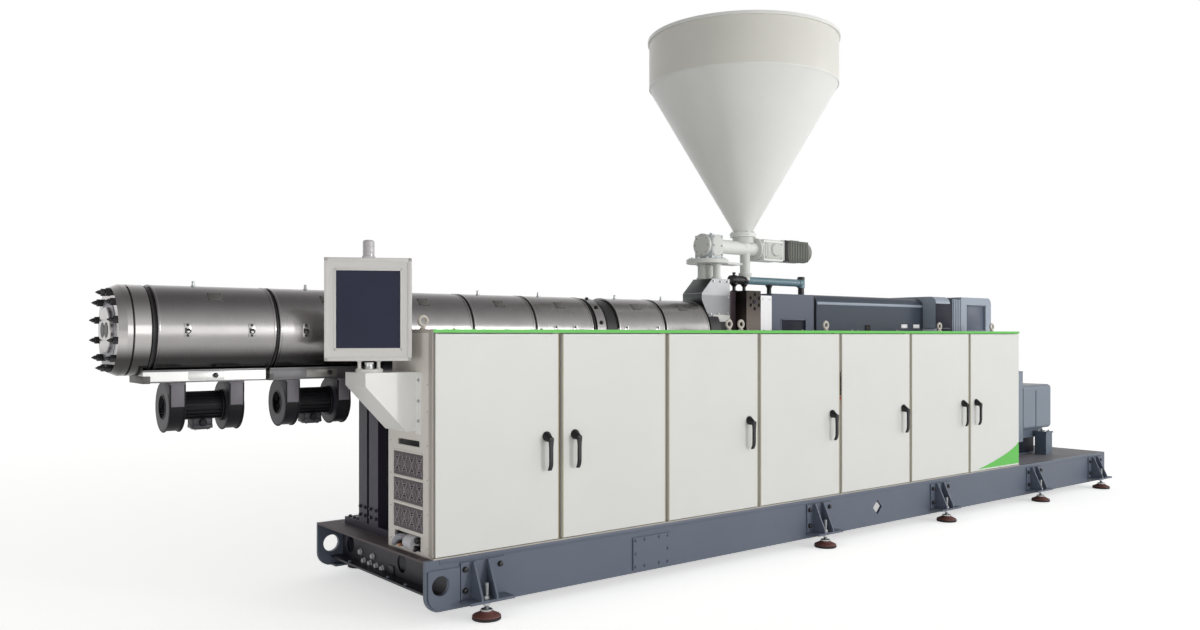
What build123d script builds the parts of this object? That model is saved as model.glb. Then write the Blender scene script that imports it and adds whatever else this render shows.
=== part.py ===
from build123d import *
import math
import os

# A twin-screw plastic extruder on its own base frame, in millimetres.
# X runs along the machine from the barrel head to the drive end, -Y is the operator's side and
# Z is up from the floor. The pieces are drawn from the base frame's left end and the machine's
# centreline, and moved to the middle of the whole machine's box when they are written.

# Base frame
BASE_LENGTH = 7640
BASE_HALF_WIDTH = 690
BASE_BOTTOM = 61
BASE_TOP = 333
SIDE_PLATE = 20
SIDE_FLANGE_WIDTH = 70
SIDE_FLANGE = 12
SIDE_CORNER_R = 85
DECK_PLATE = 12
END_RECESS = 165
END_WEB = 12
END_LIP_Z = 108
END_HOLE_R = 53
END_HOLE_FROM_SIDE = 130
END_HOLE_NEAR_Y = -120
END_HOLE_YS = (BASE_HALF_WIDTH - END_HOLE_FROM_SIDE, END_HOLE_NEAR_Y)
END_HOLE_Z = 200
LIFT_HOLE_X = 88
LIFT_HOLE_Z = 197
LIFT_HOLE_R = 52
DOUBLER_X0 = 15
DOUBLER_X1 = 204
DOUBLER_Z0 = 75
DOUBLER_Z1 = 280
DOUBLER_PLATE = 8
DOUBLER_CORNER_R = 71
DIAMOND_FROM_END = 3775
DIAMOND_X = BASE_LENGTH - DIAMOND_FROM_END
DIAMOND_Z = 193
DIAMOND_SIDE = 79
COVER_X0 = 1408
COVER_X1 = 1711
COVER_Z0 = 79
COVER_Z1 = 275
COVER_PLATE = 8
CROSS_WIDTH = 90
CROSS_WEB = 10

# Levelling feet
FIRST_FOOT_X = 325
FEET_FROM_END = (4495, 2955, 1430, 240)
FOOT_XS = (FIRST_FOOT_X, *(BASE_LENGTH - distance for distance in FEET_FROM_END))
FOOT_STANDOFF = 75
PAD_R = 78
PAD_DOME_Z = 26
PAD_TOP_Z = 46
STUD_R = 12
STUD_TOP_Z = 192
STUD_SEAT_R = 32
STUD_NUT_R = 20
BRACKET_LEFT = 117
BRACKET_RIGHT = 157
BRACKET_PLATE = 10
BRACKET_Z0 = 92
BRACKET_Z1 = 300
BRACKET_SHELF = 14
BRACKET_REACH = 112
GUSSET = 12
GUSSET_OFFSET = 46
GUSSET_TOP_REACH = 18

# Barrel
BARREL_Z = 1524
CORE_R = 210
JACKET_R = 224
HEAD_R = 223
NECK_R = 112
NECK_X0 = -1357
HEAD_FACE_X = -1340
HEAD_FACE_R = 207
HEAD_RIM_X = -1303
HEAD_GROOVE_X0 = -1279
HEAD_GROOVE_X1 = -1270
HEAD_GROOVE_R = 212
HEAD_X1 = -1194
STUD_COUNT = 12
STUD_CIRCLE_R = 190
HEAD_STUD_R = 11
HEAD_STUD_TIP_X = -1386
HEAD_STUD_CONE = 16
HEAD_NUT_R = 20
HEAD_NUT_LENGTH = 20
JACKET_SPANS = ((-1169, -598), (-577, -12), (4, 570), (586, 1021), (1037, 1479), (1698, 2100), (2122, 2534))
COUPLING_SPAN = (1516, 1587)
COUPLING_R = 222
THROAT_X = 2665

# Trays and blowers under the barrel
TRAY_HALF_WIDTH = 120
TRAY_BOTTOM = 1266
TRAY_TOP = 1330
TRAY_SPANS = ((-1213, -616), (-594, -30), (600, 1010), (1048, 1470), (1710, 2090))
JACKET_GAP = 0.3
BLOWER_XS = (-910, -329, 805, 1259, 1900)
BLOWER_Z = 1140
SCROLL_R = 125
SCROLL_WIDTH = 76
SCROLL_DISC = 6
SCROLL_RIM = 4
SCROLL_PITCH = 287
SCROLL_INLET_R = 57
SCROLL_INLET_DEPTH = 30
DUCT_BACK_Y = 20
BLOWER_MOTOR_R = 68
BLOWER_BOX = (97, 84, 50)

# Portal under the barrel
PORTAL_X0 = 128
PORTAL_X1 = 330
PORTAL_BLOCK_X1 = 420
PORTAL_BLOCK_Y1 = 560
PORTAL_BLOCK_TOP = 376
PORTAL_NEAR_GAP = 5
PORTAL_COLUMN = 110
PORTAL_FAR_COLUMN_YS = ((105, 223), (250, 360))
YOKE_Z0 = 1190
YOKE_Z1 = 1290
SADDLE_HALF_Y = 150

# Feed group
INFEED_X0 = 2580
INFEED_X1 = 2870
INFEED_HALF_Y = 100
INFEED_BOTTOM = 1635
INFEED_TOP = 1915
INFEED_NOSE_Z0 = 1754
INFEED_NOSE_Z1 = 1805
INFEED_FOOT_X = 2648
INFEED_SHOULDER_X = 2689
PLATFORM_X = 2735
PLATFORM_R = 150
PLATFORM_Z0 = 2030
PLATFORM_PLATE = 32
PLATFORM_LEG_R = 28
PLATFORM_LEGS = ((2770, -62), (2735, 62), (2802, 50))
TONGUE_X1 = 3051
TONGUE_HALF_Y = 60
TONGUE_PLATE = 16
DROP_BOX_X0 = 2695
DROP_BOX_X1 = 2810
DROP_BOX_HALF_Y = 88
DROP_BOX_Z1 = 2241
DROP_CAP_R = 84
DROP_CAP = 20
DROP_KNOB_X = 2774
DROP_KNOB_R = 10
METER_TUBE_R = 53
METER_Z = 2165
METER_GEAR_X0 = 3275
METER_GEAR_X1 = 3497
METER_GEAR_HALF_Y = 75
METER_GEAR_Z0 = 2077
METER_GEAR_Z1 = 2235
METER_RING_X1 = 3560
METER_RING_R = 90
METER_MOTOR_R = 86
METER_MOTOR_X1 = 3850
METER_FIN_PITCH = 24
METER_FIN = 10
POST_X = 3143
POST_R = 38.5

# Hopper
HOPPER_X = 3120
HOPPER_RIM_R = 729
HOPPER_RIM_Z = 3756
HOPPER_SEAM_R = 717
HOPPER_DRUM_HEIGHT = 362
HOPPER_SEAM_Z = HOPPER_RIM_Z - HOPPER_DRUM_HEIGHT
HOPPER_NECK_R = 66
HOPPER_NECK_Z = 2280
HOPPER_FLANGE_R = 98
HOPPER_FLANGE_Z = 2250
HOPPER_FLANGE = 14
HOPPER_WALL = 6
HOPPER_BEAD_R = 12
HOPPER_SPOUT_R = 60

# Drive row
DRIVE_HALF_WIDTH = 210
PEDESTAL_TOP = 1180
PEDESTAL_X0 = 2760
PEDESTAL_CORE_HALF_WIDTH = 192
PEDESTAL_FLANGE = 20
PEDESTAL_RIB = 16
PEDESTAL_RIBS = 8
COUPLING_BLOCK_X1 = 2932
COUPLING_BLOCK_TOP = 1825
RING_PLATE_X1 = 3088
RING_PLATE_TOP = 1830
RING_HOLE_X = 3020
RING_HOLE_Z = 1749
RING_PITCH_R = 52
RING_HOLE_R = 14
RING_HOLE_DEPTH = 30
GUARD_X1 = 3210
GUARD_TOP = 1797
GEARBOX_X1 = 3704
GEARBOX_TOP = 1815
GEARBOX_WINDOW_X0 = 3322
GEARBOX_WINDOW_X1 = 3606
GEARBOX_WINDOW_Z0 = 1330
GEARBOX_WINDOW_Z1 = 1615
WINDOW_DEPTH = 12
COVER_START_X = 3739
COVER_STEP = 20
COVER_EDGE_R = 69
MOTOR_COVER_TOP = 1820
ROUND_BLOCK_TOP = 1838
REAR_BOX_FROM_END = 1295
REAR_BOX_LENGTH = 520
STRIP_BLOCK_LENGTH = 150
ROUND_BLOCK_LENGTH = 468
REAR_BOX_X1 = BASE_LENGTH - REAR_BOX_FROM_END
STRIP_BLOCK_X1 = REAR_BOX_X1 - REAR_BOX_LENGTH
ROUND_BLOCK_X1 = STRIP_BLOCK_X1 - STRIP_BLOCK_LENGTH
MOTOR_COVER_X1 = ROUND_BLOCK_X1 - ROUND_BLOCK_LENGTH
BUTTRESS_LENGTH = 218
BUTTRESS_HALF_WIDTH = 340
BUTTRESS_Z0 = 1560
BUTTRESS_EDGE_R = 60
STRIP_BLOCK_DROP = 12
REAR_BOX_TOP = 1849
REAR_BOX_EDGE_R = 60
REAR_WINDOW_LEFT = 413
REAR_WINDOW_RIGHT = 108
REAR_WINDOW_Z0 = 1548
REAR_WINDOW_Z1 = 1770
PEDESTAL_END_SETBACK = 45
PEDESTAL_X1 = REAR_BOX_X1 - PEDESTAL_END_SETBACK
BEAM_X0 = 2988
BEAM_X1 = 3805
BEAM_Z = 1920
BEAM_R = 30
BEAM_POST_TOP = 1971
BEAM_CLAMPS = ((3021, RING_PLATE_TOP), (3132, GUARD_TOP), (3418, GEARBOX_TOP))
BEAM_CLAMP_LENGTH = 36
BEAM_CLAMP_HALF_Y = 24

# Lower motor
LOWER_MOTOR_FROM_END = 487
LOWER_MOTOR_X1 = BASE_LENGTH - LOWER_MOTOR_FROM_END
LOWER_MOTOR_X0 = LOWER_MOTOR_X1 - 557
LOWER_MOTOR_Y0 = -400
LOWER_MOTOR_Y1 = 30
LOWER_MOTOR_Z0 = 587
LOWER_MOTOR_Z1 = 1015
LOWER_MOTOR_EDGE_R = 38
MOTOR_GROOVE_OFFSET = 230
MOTOR_GROOVE = 16
MOTOR_GROOVE_TOP = 960
BELT_GUARD_X0 = LOWER_MOTOR_X0 - 146
BELT_GUARD_Y0 = -395
BELT_GUARD_Y1 = -20
BELT_GUARD_Z0 = 480
BELT_GUARD_TOP = 1155
STAND_TOP = 500
SLIDE_PLATE_TOP = 552
SLIDE_Y0 = -332
SLIDE_Y1 = 10
RAIL_WIDTH = 60
JACK_POST_LEFT = 238
JACK_POST_RIGHT = 118
JACK_POST_Y0 = -460
JACK_POST_Y1 = -345
JACK_POST_TOP = 545
JACK_CAP = 14
JACK_CAP_OVERHANG = 8

# Cabinets
CABINET_X0 = 50
CABINET_X1 = BASE_LENGTH - 1665
CABINET_TOP = 1532
CABINET_SHEET = 20
CABINET_BARREL_GAP = 8
SILL = 7
STRIP_HEIGHT = 20
STRIP_THICK = 3
LEFT_BANK_EDGES = (CABINET_X0, 869, 1692, 2537)
RIGHT_BANK_TRIMS = (20, 24, -5, -39)
DOOR_HINGES = ("left", "right", "left", "left", "left", "left", "right")
DOOR_GAP = 24
DOOR_THICK = 22
DOOR_WALL = 3
DOOR_RUNNING_GAP = 5
HINGE_INSET = 11
HINGE_PIN_R = 5
HINGE_CLEARANCE = 0.3
HINGE_LUG = 22
HINGE_ENGAGE = 13
POST_SETBACK = 32
POST_WIDTH = 60
POST_DEPTH = 25
HANDLE_INSET = 100
HANDLE_Z = 930
HANDLE_BASE_R = 27
HANDLE_BASE_RIM = 5
HANDLE_HUB_R = 17
HANDLE_HUB_CONE = 36
HANDLE_HUB_PROUD = 50
SPINDLE_R = 7.5
SPINDLE_REACH = 6
LEVER_LENGTH = 172
LEVER_WIDTH = 21
LEVER_GAP = 31
LEVER_THICK = 15
LEVER_HOOK = 8
LEVER_HOOK_HEIGHT = 20
FAN_ROWS_Z = ((738, 866), (595, 722), (452, 578))
FAN_FRONT = 112
FAN_BACK = 14
FAN_COLUMNS = 4
FAN_INSET = 2
FAN_DEPTH = 30
FAN_CUP = 14
FAN_BORE = 0.46
FAN_HUB = 0.18
SLOT_FRONT = 150
SLOT_BACK = 68
SLOT_Z0 = 906
SLOT_Z1 = 938
CUTOUT_FRONT = 137
CUTOUT_BACK = 30
CUTOUT_Z0 = 352
CUTOUT_Z1 = 432
END_TAIL = 48
END_TAIL_TOP = 1280
EYE_R = 24
EYE_WIRE_R = 7
EYE_STEM = 20

# Console arm and operator panel
ARM_Y0 = -510
ARM_Y1 = -268
ARM_TOP = 1304
ARM_TIP_X = -243
ARM_TIP_Z = 1235
ARM_FOOT_Z = 990
ARM_FOOT_DEPTH = 60
ARM_FLANGE_Y0 = -565
ARM_FLANGE_Z0 = 975
ARM_FLANGE = 6
PANEL_X = -182
PANEL_Y = -426
PANEL_TURN = -30
PANEL_WIDTH = 440
PANEL_Z0 = 1367
PANEL_Z1 = 1899
PANEL_BACK = 6
PANEL_DEPTH = 62
PANEL_EDGE_R = 8
SCREEN_WIDTH = 324
SCREEN_HEIGHT = 404
SCREEN_RECESS = 4
SCREEN_GLASS = 6
SWIVEL_PLATE_R = 70
SWIVEL_PLATE = 18
SWIVEL_SPIGOT_R = 23
SWIVEL_LEG_R = 9
SWIVEL_LEG_PITCH = 98
BEACON_R = 29.5
BEACON_HEIGHT = 94

ORIGIN_X = (HEAD_STUD_TIP_X + BASE_LENGTH) / 2
CABINET_FRONT = -BASE_HALF_WIDTH
CABINET_BACK = -JACKET_R - CABINET_BARREL_GAP
ROOF_BOTTOM = CABINET_TOP - STRIP_HEIGHT
SILL_TOP = BASE_TOP + SILL


def block(x0, x1, y0, y1, z0, z1):
    """A box between two corners."""
    return Pos((x0 + x1) / 2, (y0 + y1) / 2, (z0 + z1) / 2) * Box(x1 - x0, y1 - y0, z1 - z0)


def rod_x(x0, x1, y, z, radius):
    """A round bar along X."""
    return Pos((x0 + x1) / 2, y, z) * Rot(0, 90, 0) * Cylinder(radius, x1 - x0)


def rod_y(x, y0, y1, z, radius):
    """A round bar along Y."""
    return Pos(x, (y0 + y1) / 2, z) * Rot(90, 0, 0) * Cylinder(radius, y1 - y0)


def rod_z(x, y, z0, z1, radius):
    """A round bar along Z."""
    return Pos(x, y, (z0 + z1) / 2) * Cylinder(radius, z1 - z0)


def prism_y(points, y0, y1):
    """An outline of (x, z) points, pushed from y0 to y1."""
    plane = Plane((0, y1, 0), x_dir=(1, 0, 0), z_dir=(0, -1, 0))
    return extrude(plane * make_face(Polyline(*points, close=True)), amount=y1 - y0)


def prism_x(points, x0, x1):
    """An outline of (y, z) points, pushed from x0 to x1."""
    plane = Plane((x0, 0, 0), x_dir=(0, 1, 0), z_dir=(1, 0, 0))
    return extrude(plane * make_face(Polyline(*points, close=True)), amount=x1 - x0)


def turned_x(points, y, z):
    """An outline of (x, radius) points, turned about an axis along X."""
    outline = make_face(Polyline(*points, close=True))
    return Pos(0, y, z) * revolve(Plane.XY * outline, Axis.X)


def turned_z(points, x, y):
    """An outline of (radius, z) points, turned about an axis along Z."""
    outline = make_face(Polyline(*points, close=True))
    return Pos(x, y, 0) * revolve(Plane.XZ * outline, Axis.Z)


def mirrored(shape):
    """The same piece on the other side of the centreline."""
    return mirror(shape, about=Plane.XZ)


def both_sides(shapes):
    """The pieces of the operator's side and their twins."""
    return list(shapes) + [mirrored(shape) for shape in shapes]


def save(name, *shapes):
    """Write one node, moved to the middle of the machine."""
    solids = []
    for shape in shapes:
        solids += list((Pos(-ORIGIN_X, 0, 0) * shape).solids())
    export_step(Compound(children=solids) if len(solids) > 1 else solids[0], f"parts/{name}.step")


# Base frame


def base_side():
    """The operator's side: a plate with a turned-in flange, lifting hole, diamond and two covers."""
    front = -BASE_HALF_WIDTH
    inner = front + SIDE_PLATE
    plate = block(0, BASE_LENGTH, front, inner, BASE_BOTTOM, BASE_TOP)
    lower_corners = plate.edges().filter_by(Axis.Y).group_by(Axis.Z)[0]
    plate = fillet(lower_corners, SIDE_CORNER_R)
    plate += block(SIDE_CORNER_R, BASE_LENGTH - SIDE_CORNER_R, inner, inner + SIDE_FLANGE_WIDTH,
                   BASE_BOTTOM, BASE_BOTTOM + SIDE_FLANGE)
    plate += block(COVER_X0, COVER_X1, front - COVER_PLATE, front, COVER_Z0, COVER_Z1)
    doubler = block(DOUBLER_X0, DOUBLER_X1, front - DOUBLER_PLATE, front, DOUBLER_Z0, DOUBLER_Z1)
    lower_corner = doubler.edges().filter_by(Axis.Y).group_by(Axis.Z)[0].group_by(Axis.X)[0]
    plate += fillet(lower_corner, DOUBLER_CORNER_R)
    plate -= rod_y(LIFT_HOLE_X, front - DOUBLER_PLATE - 1, inner + 1, LIFT_HOLE_Z, LIFT_HOLE_R)
    diamond = Pos(DIAMOND_X, front + SIDE_PLATE / 2, DIAMOND_Z) * Rot(0, 45, 0)
    plate -= diamond * Box(DIAMOND_SIDE, SIDE_PLATE + 2, DIAMOND_SIDE)
    return plate


def base_end():
    """The left end: a web set back between the sides, with a lip along its foot."""
    inner = BASE_HALF_WIDTH - SIDE_PLATE
    web = block(END_RECESS, END_RECESS + END_WEB, -inner, inner, END_LIP_Z, BASE_TOP - DECK_PLATE)
    web += block(SIDE_CORNER_R, END_RECESS, -inner, inner, END_LIP_Z, END_LIP_Z + SIDE_FLANGE)
    for hole_y in END_HOLE_YS:
        web -= rod_x(END_RECESS - 1, END_RECESS + END_WEB + 1, hole_y, END_HOLE_Z, END_HOLE_R)
    return web


def cross_member(x):
    """An I-section from side to side."""
    inner = BASE_HALF_WIDTH - SIDE_PLATE
    z0 = BASE_BOTTOM + SIDE_FLANGE
    z1 = BASE_TOP - DECK_PLATE
    beam = block(x - CROSS_WEB / 2, x + CROSS_WEB / 2, -inner, inner, z0, z1)
    beam += block(x - CROSS_WIDTH / 2, x + CROSS_WIDTH / 2, -inner, inner, z0, z0 + SIDE_FLANGE)
    return beam + block(x - CROSS_WIDTH / 2, x + CROSS_WIDTH / 2, -inner, inner, z1 - SIDE_FLANGE, z1)


def write_base():
    inner = BASE_HALF_WIDTH - SIDE_PLATE
    save("base_sides", *both_sides([base_side()]))
    left_end = base_end()
    save("base_ends", left_end, Pos(BASE_LENGTH, 0, 0) * mirror(left_end, about=Plane.YZ))
    save("base_deck", block(0, BASE_LENGTH, -inner, inner, BASE_TOP - DECK_PLATE, BASE_TOP))
    save("base_cross_members", *[cross_member(x) for x in FOOT_XS])


# Levelling feet


def foot_bracket(x):
    """A bolted plate with a shelf for the stud and two slanting gussets."""
    face = -BASE_HALF_WIDTH
    x0 = x - BRACKET_LEFT
    x1 = x + BRACKET_RIGHT
    back = face - BRACKET_PLATE
    bracket = block(x0, x1, back, face, BRACKET_Z0, BRACKET_Z1)
    shelf_top = BRACKET_Z0 + BRACKET_SHELF
    bracket += block(x0, x1, face - BRACKET_REACH, back, BRACKET_Z0, shelf_top)
    gusset_outline = [(back, shelf_top), (face - BRACKET_REACH, shelf_top),
                      (face - BRACKET_REACH, shelf_top + GUSSET_TOP_REACH),
                      (back - GUSSET_TOP_REACH, BRACKET_Z1), (back, BRACKET_Z1)]
    for middle in (x - GUSSET_OFFSET, x + GUSSET_OFFSET):
        bracket += prism_x(gusset_outline, middle - GUSSET / 2, middle + GUSSET / 2)
    return bracket - rod_z(x, face - FOOT_STANDOFF, BRACKET_Z0 - 1, shelf_top + 1, STUD_R)


def foot_stud(x):
    """The threaded stud with its seat on the pad and two nuts at the shelf."""
    y = -BASE_HALF_WIDTH - FOOT_STANDOFF
    shelf_top = BRACKET_Z0 + BRACKET_SHELF
    stud = rod_z(x, y, PAD_TOP_Z, STUD_TOP_Z, STUD_R)
    stud += rod_z(x, y, PAD_TOP_Z, PAD_TOP_Z + 9, STUD_SEAT_R)
    nut = RegularPolygon(STUD_NUT_R, 6)
    stud += Pos(x, y, BRACKET_Z0 - 18) * extrude(nut, amount=18)
    return stud + Pos(x, y, shelf_top) * extrude(nut, amount=16)


def foot_pad(x):
    """A domed plate on a rubber ring."""
    outline = [(0, 0), (PAD_R - 5, 0), (PAD_R, 5), (PAD_R, PAD_DOME_Z - 6), (PAD_R - 5, PAD_DOME_Z),
               (STUD_SEAT_R + 6, PAD_TOP_Z), (0, PAD_TOP_Z)]
    return turned_z(outline, x, -BASE_HALF_WIDTH - FOOT_STANDOFF)


def write_feet():
    save("foot_brackets", *both_sides([foot_bracket(x) for x in FOOT_XS]))
    save("foot_studs", *both_sides([foot_stud(x) for x in FOOT_XS]))
    save("foot_pads", *both_sides([foot_pad(x) for x in FOOT_XS]))


# Barrel


def head_flange():
    """The polished head rings, a chamfered face and the pale spigot that centres the die."""
    outline = [(NECK_X0, 0), (NECK_X0, NECK_R - 4), (NECK_X0 + 4, NECK_R), (HEAD_FACE_X, NECK_R),
               (HEAD_FACE_X, HEAD_FACE_R), (HEAD_RIM_X, HEAD_R), (HEAD_GROOVE_X0, HEAD_R),
               (HEAD_GROOVE_X0, HEAD_GROOVE_R), (HEAD_GROOVE_X1, HEAD_GROOVE_R),
               (HEAD_GROOVE_X1, HEAD_R), (HEAD_X1 - 4, HEAD_R), (HEAD_X1, HEAD_R - 4), (HEAD_X1, 0)]
    return turned_x(outline, 0, BARREL_Z)


def head_stud(index):
    """One stud with a pointed end and its nut against the head's face."""
    angle = math.radians((index + 0.5) * 360 / STUD_COUNT)
    y = STUD_CIRCLE_R * math.sin(angle)
    z = BARREL_Z + STUD_CIRCLE_R * math.cos(angle)
    cone_x = HEAD_STUD_TIP_X + HEAD_STUD_CONE
    outline = [(HEAD_STUD_TIP_X, 0), (HEAD_STUD_TIP_X, 2), (cone_x, HEAD_STUD_R),
               (HEAD_FACE_X, HEAD_STUD_R), (HEAD_FACE_X, 0)]
    nut = extrude(RegularPolygon(HEAD_NUT_R, 6), amount=HEAD_NUT_LENGTH)
    return turned_x(outline, y, z) + Pos(HEAD_FACE_X - HEAD_NUT_LENGTH, y, z) * Rot(0, 90, 0) * nut


def jacket(span):
    """One brushed sheet sleeve round the core."""
    x0, x1 = span
    outline = [(x0, CORE_R), (x0, JACKET_R - 3), (x0 + 3, JACKET_R), (x1 - 3, JACKET_R),
               (x1, JACKET_R - 3), (x1, CORE_R)]
    return turned_x(outline, 0, BARREL_Z)


def barrel_core():
    """The black barrel, cut flat under the throat, with the block that carries on below it."""
    core = rod_x(HEAD_X1, THROAT_X, 0, BARREL_Z, CORE_R)
    core -= block(INFEED_X0 - 4, THROAT_X + 1, -CORE_R - 1, CORE_R + 1, INFEED_BOTTOM, BARREL_Z + CORE_R + 1)
    return core + block(THROAT_X, INFEED_X1, -INFEED_HALF_Y, INFEED_HALF_Y, BARREL_Z - CORE_R / 2,
                        INFEED_BOTTOM)


def write_barrel():
    save("barrel_core", barrel_core())
    save("head_flange", head_flange())
    save("head_studs", *[head_stud(index) for index in range(STUD_COUNT)])
    ring = [(COUPLING_SPAN[0], CORE_R), (COUPLING_SPAN[0], COUPLING_R), (COUPLING_SPAN[1], COUPLING_R),
            (COUPLING_SPAN[1], CORE_R)]
    save("barrel_jackets", *[jacket(span) for span in JACKET_SPANS], turned_x(ring, 0, BARREL_Z))


# Trays and blowers


def air_tray(span):
    """A bright tray that follows the underside of the jacket and of the head ring."""
    x0, x1 = span
    tray = block(x0, x1, -TRAY_HALF_WIDTH, TRAY_HALF_WIDTH, TRAY_BOTTOM, TRAY_TOP)
    tray -= rod_x(x0 - 1, x1 + 1, 0, BARREL_Z, JACKET_R + JACKET_GAP)
    if x0 < HEAD_X1:
        tray -= rod_x(x0 - 1, HEAD_X1 + JACKET_GAP, 0, BARREL_Z, HEAD_R + JACKET_GAP)
    return tray


def scroll(x, side):
    """A drum between two discs, with a tangent outlet duct and a round inlet in its outer disc."""
    x0 = x - SCROLL_WIDTH / 2
    x1 = x + SCROLL_WIDTH / 2
    drum = rod_x(x0, x1, 0, BLOWER_Z, SCROLL_R - SCROLL_RIM)
    drum += rod_x(x0, x0 + SCROLL_DISC, 0, BLOWER_Z, SCROLL_R)
    drum += rod_x(x1 - SCROLL_DISC, x1, 0, BLOWER_Z, SCROLL_R)
    drum += block(x0, x1, -SCROLL_R, DUCT_BACK_Y, BLOWER_Z, TRAY_BOTTOM)
    if side < 0:
        return drum - rod_x(x0 - 1, x0 + SCROLL_INLET_DEPTH, 0, BLOWER_Z, SCROLL_INLET_R)
    return drum - rod_x(x1 - SCROLL_INLET_DEPTH, x1 + 1, 0, BLOWER_Z, SCROLL_INLET_R)


def blower_motor(x):
    """The motor between two scrolls, with its terminal box beneath."""
    reach = (SCROLL_PITCH - SCROLL_WIDTH) / 2
    motor = rod_x(x - reach, x + reach, 0, BLOWER_Z, BLOWER_MOTOR_R)
    length, width, height = BLOWER_BOX
    top = BLOWER_Z - BLOWER_MOTOR_R + 8
    return motor + block(x - length / 2, x + length / 2, -width / 2, width / 2, top - height, top)


def write_blowers():
    save("air_trays", *[air_tray(span) for span in TRAY_SPANS])
    scrolls = [scroll(x + side * SCROLL_PITCH / 2, side) for x in BLOWER_XS for side in (-1, 1)]
    save("blower_scrolls", *scrolls)
    save("blower_motors", *[blower_motor(x) for x in BLOWER_XS])


# Portal under the barrel


def portal():
    """A cross block, upright columns and the yoke that cradles the barrel."""
    near = CABINET_BACK + PORTAL_NEAR_GAP
    far = PORTAL_FAR_COLUMN_YS[-1][1]
    frame = block(PORTAL_X0, PORTAL_BLOCK_X1, near, PORTAL_BLOCK_Y1, BASE_TOP, PORTAL_BLOCK_TOP)
    for y0, y1 in ((near, near + PORTAL_COLUMN),) + PORTAL_FAR_COLUMN_YS:
        frame += block(PORTAL_X0, PORTAL_X1, y0, y1, PORTAL_BLOCK_TOP, YOKE_Z0)
    frame += block(PORTAL_X0, PORTAL_X1, near, far, YOKE_Z0, YOKE_Z1)
    saddle = block(PORTAL_X0, PORTAL_X1, -SADDLE_HALF_Y, SADDLE_HALF_Y, YOKE_Z1, BARREL_Z - JACKET_R / 2)
    return frame + (saddle - rod_x(PORTAL_X0 - 1, PORTAL_X1 + 1, 0, BARREL_Z, JACKET_R + JACKET_GAP))


# Feed group


def infeed_housing():
    """The stainless throat housing, chamfered towards the barrel."""
    side = [(INFEED_X0, INFEED_NOSE_Z0), (INFEED_FOOT_X, INFEED_BOTTOM), (INFEED_X1, INFEED_BOTTOM),
            (INFEED_X1, INFEED_TOP), (INFEED_SHOULDER_X, INFEED_TOP), (INFEED_X0, INFEED_NOSE_Z1)]
    return prism_y(side, -INFEED_HALF_Y, INFEED_HALF_Y)


def feed_platform():
    """A round plate with a tongue under the metering tube, on three legs over the throat."""
    top = PLATFORM_Z0 + PLATFORM_PLATE
    platform = rod_z(PLATFORM_X, 0, PLATFORM_Z0, top, PLATFORM_R)
    platform += block(PLATFORM_X, TONGUE_X1, -TONGUE_HALF_Y, TONGUE_HALF_Y, PLATFORM_Z0,
                      PLATFORM_Z0 + TONGUE_PLATE)
    for x, y in PLATFORM_LEGS:
        platform += rod_z(x, y, INFEED_TOP, PLATFORM_Z0, PLATFORM_LEG_R)
    return platform


def drop_box():
    """The upright chute between the metering tube and the platform, with a round cover and a knob."""
    bottom = PLATFORM_Z0 + PLATFORM_PLATE
    chute = block(DROP_BOX_X0, DROP_BOX_X1, -DROP_BOX_HALF_Y, DROP_BOX_HALF_Y, bottom, DROP_BOX_Z1)
    chute += rod_x(DROP_BOX_X0 - DROP_CAP, DROP_BOX_X0, 0, METER_Z, DROP_CAP_R)
    return chute + rod_z(DROP_KNOB_X, 0, DROP_BOX_Z1, DROP_BOX_Z1 + 2 * DROP_KNOB_R, DROP_KNOB_R)


def metering_tube():
    """The screw tube with its gearbox, and the spout under the hopper."""
    tube = rod_x(DROP_BOX_X1, METER_GEAR_X0, 0, METER_Z, METER_TUBE_R)
    tube += block(METER_GEAR_X0, METER_GEAR_X1, -METER_GEAR_HALF_Y, METER_GEAR_HALF_Y, METER_GEAR_Z0,
                  METER_GEAR_Z1)
    return tube + rod_z(HOPPER_X, 0, METER_Z, HOPPER_FLANGE_Z, HOPPER_SPOUT_R)


def metering_motor():
    """A finned motor with a mounting ring on the gearbox."""
    motor = rod_x(METER_GEAR_X1, METER_RING_X1, 0, METER_Z, METER_RING_R)
    motor += rod_x(METER_RING_X1, METER_MOTOR_X1, 0, METER_Z, METER_MOTOR_R - METER_FIN)
    fins = int((METER_MOTOR_X1 - METER_RING_X1) / METER_FIN_PITCH)
    for index in range(fins):
        x = METER_RING_X1 + (index + 0.5) * METER_FIN_PITCH
        motor += rod_x(x, x + METER_FIN_PITCH / 2, 0, METER_Z, METER_MOTOR_R)
    return motor


def hopper_shell():
    """An open-topped cylinder over a cone, with a rolled rim and a bottom flange."""
    wall = HOPPER_WALL
    outline = [(HOPPER_SPOUT_R, HOPPER_FLANGE_Z), (HOPPER_FLANGE_R, HOPPER_FLANGE_Z),
               (HOPPER_FLANGE_R, HOPPER_FLANGE_Z + HOPPER_FLANGE),
               (HOPPER_NECK_R, HOPPER_FLANGE_Z + HOPPER_FLANGE),
               (HOPPER_NECK_R, HOPPER_NECK_Z), (HOPPER_SEAM_R, HOPPER_SEAM_Z),
               (HOPPER_RIM_R - HOPPER_BEAD_R, HOPPER_RIM_Z - 2 * HOPPER_BEAD_R),
               (HOPPER_RIM_R, HOPPER_RIM_Z - 2 * HOPPER_BEAD_R), (HOPPER_RIM_R, HOPPER_RIM_Z),
               (HOPPER_RIM_R - HOPPER_BEAD_R - wall, HOPPER_RIM_Z), (HOPPER_SEAM_R - wall, HOPPER_SEAM_Z),
               (HOPPER_SPOUT_R, HOPPER_NECK_Z)]
    return turned_z(outline, HOPPER_X, 0)


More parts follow.
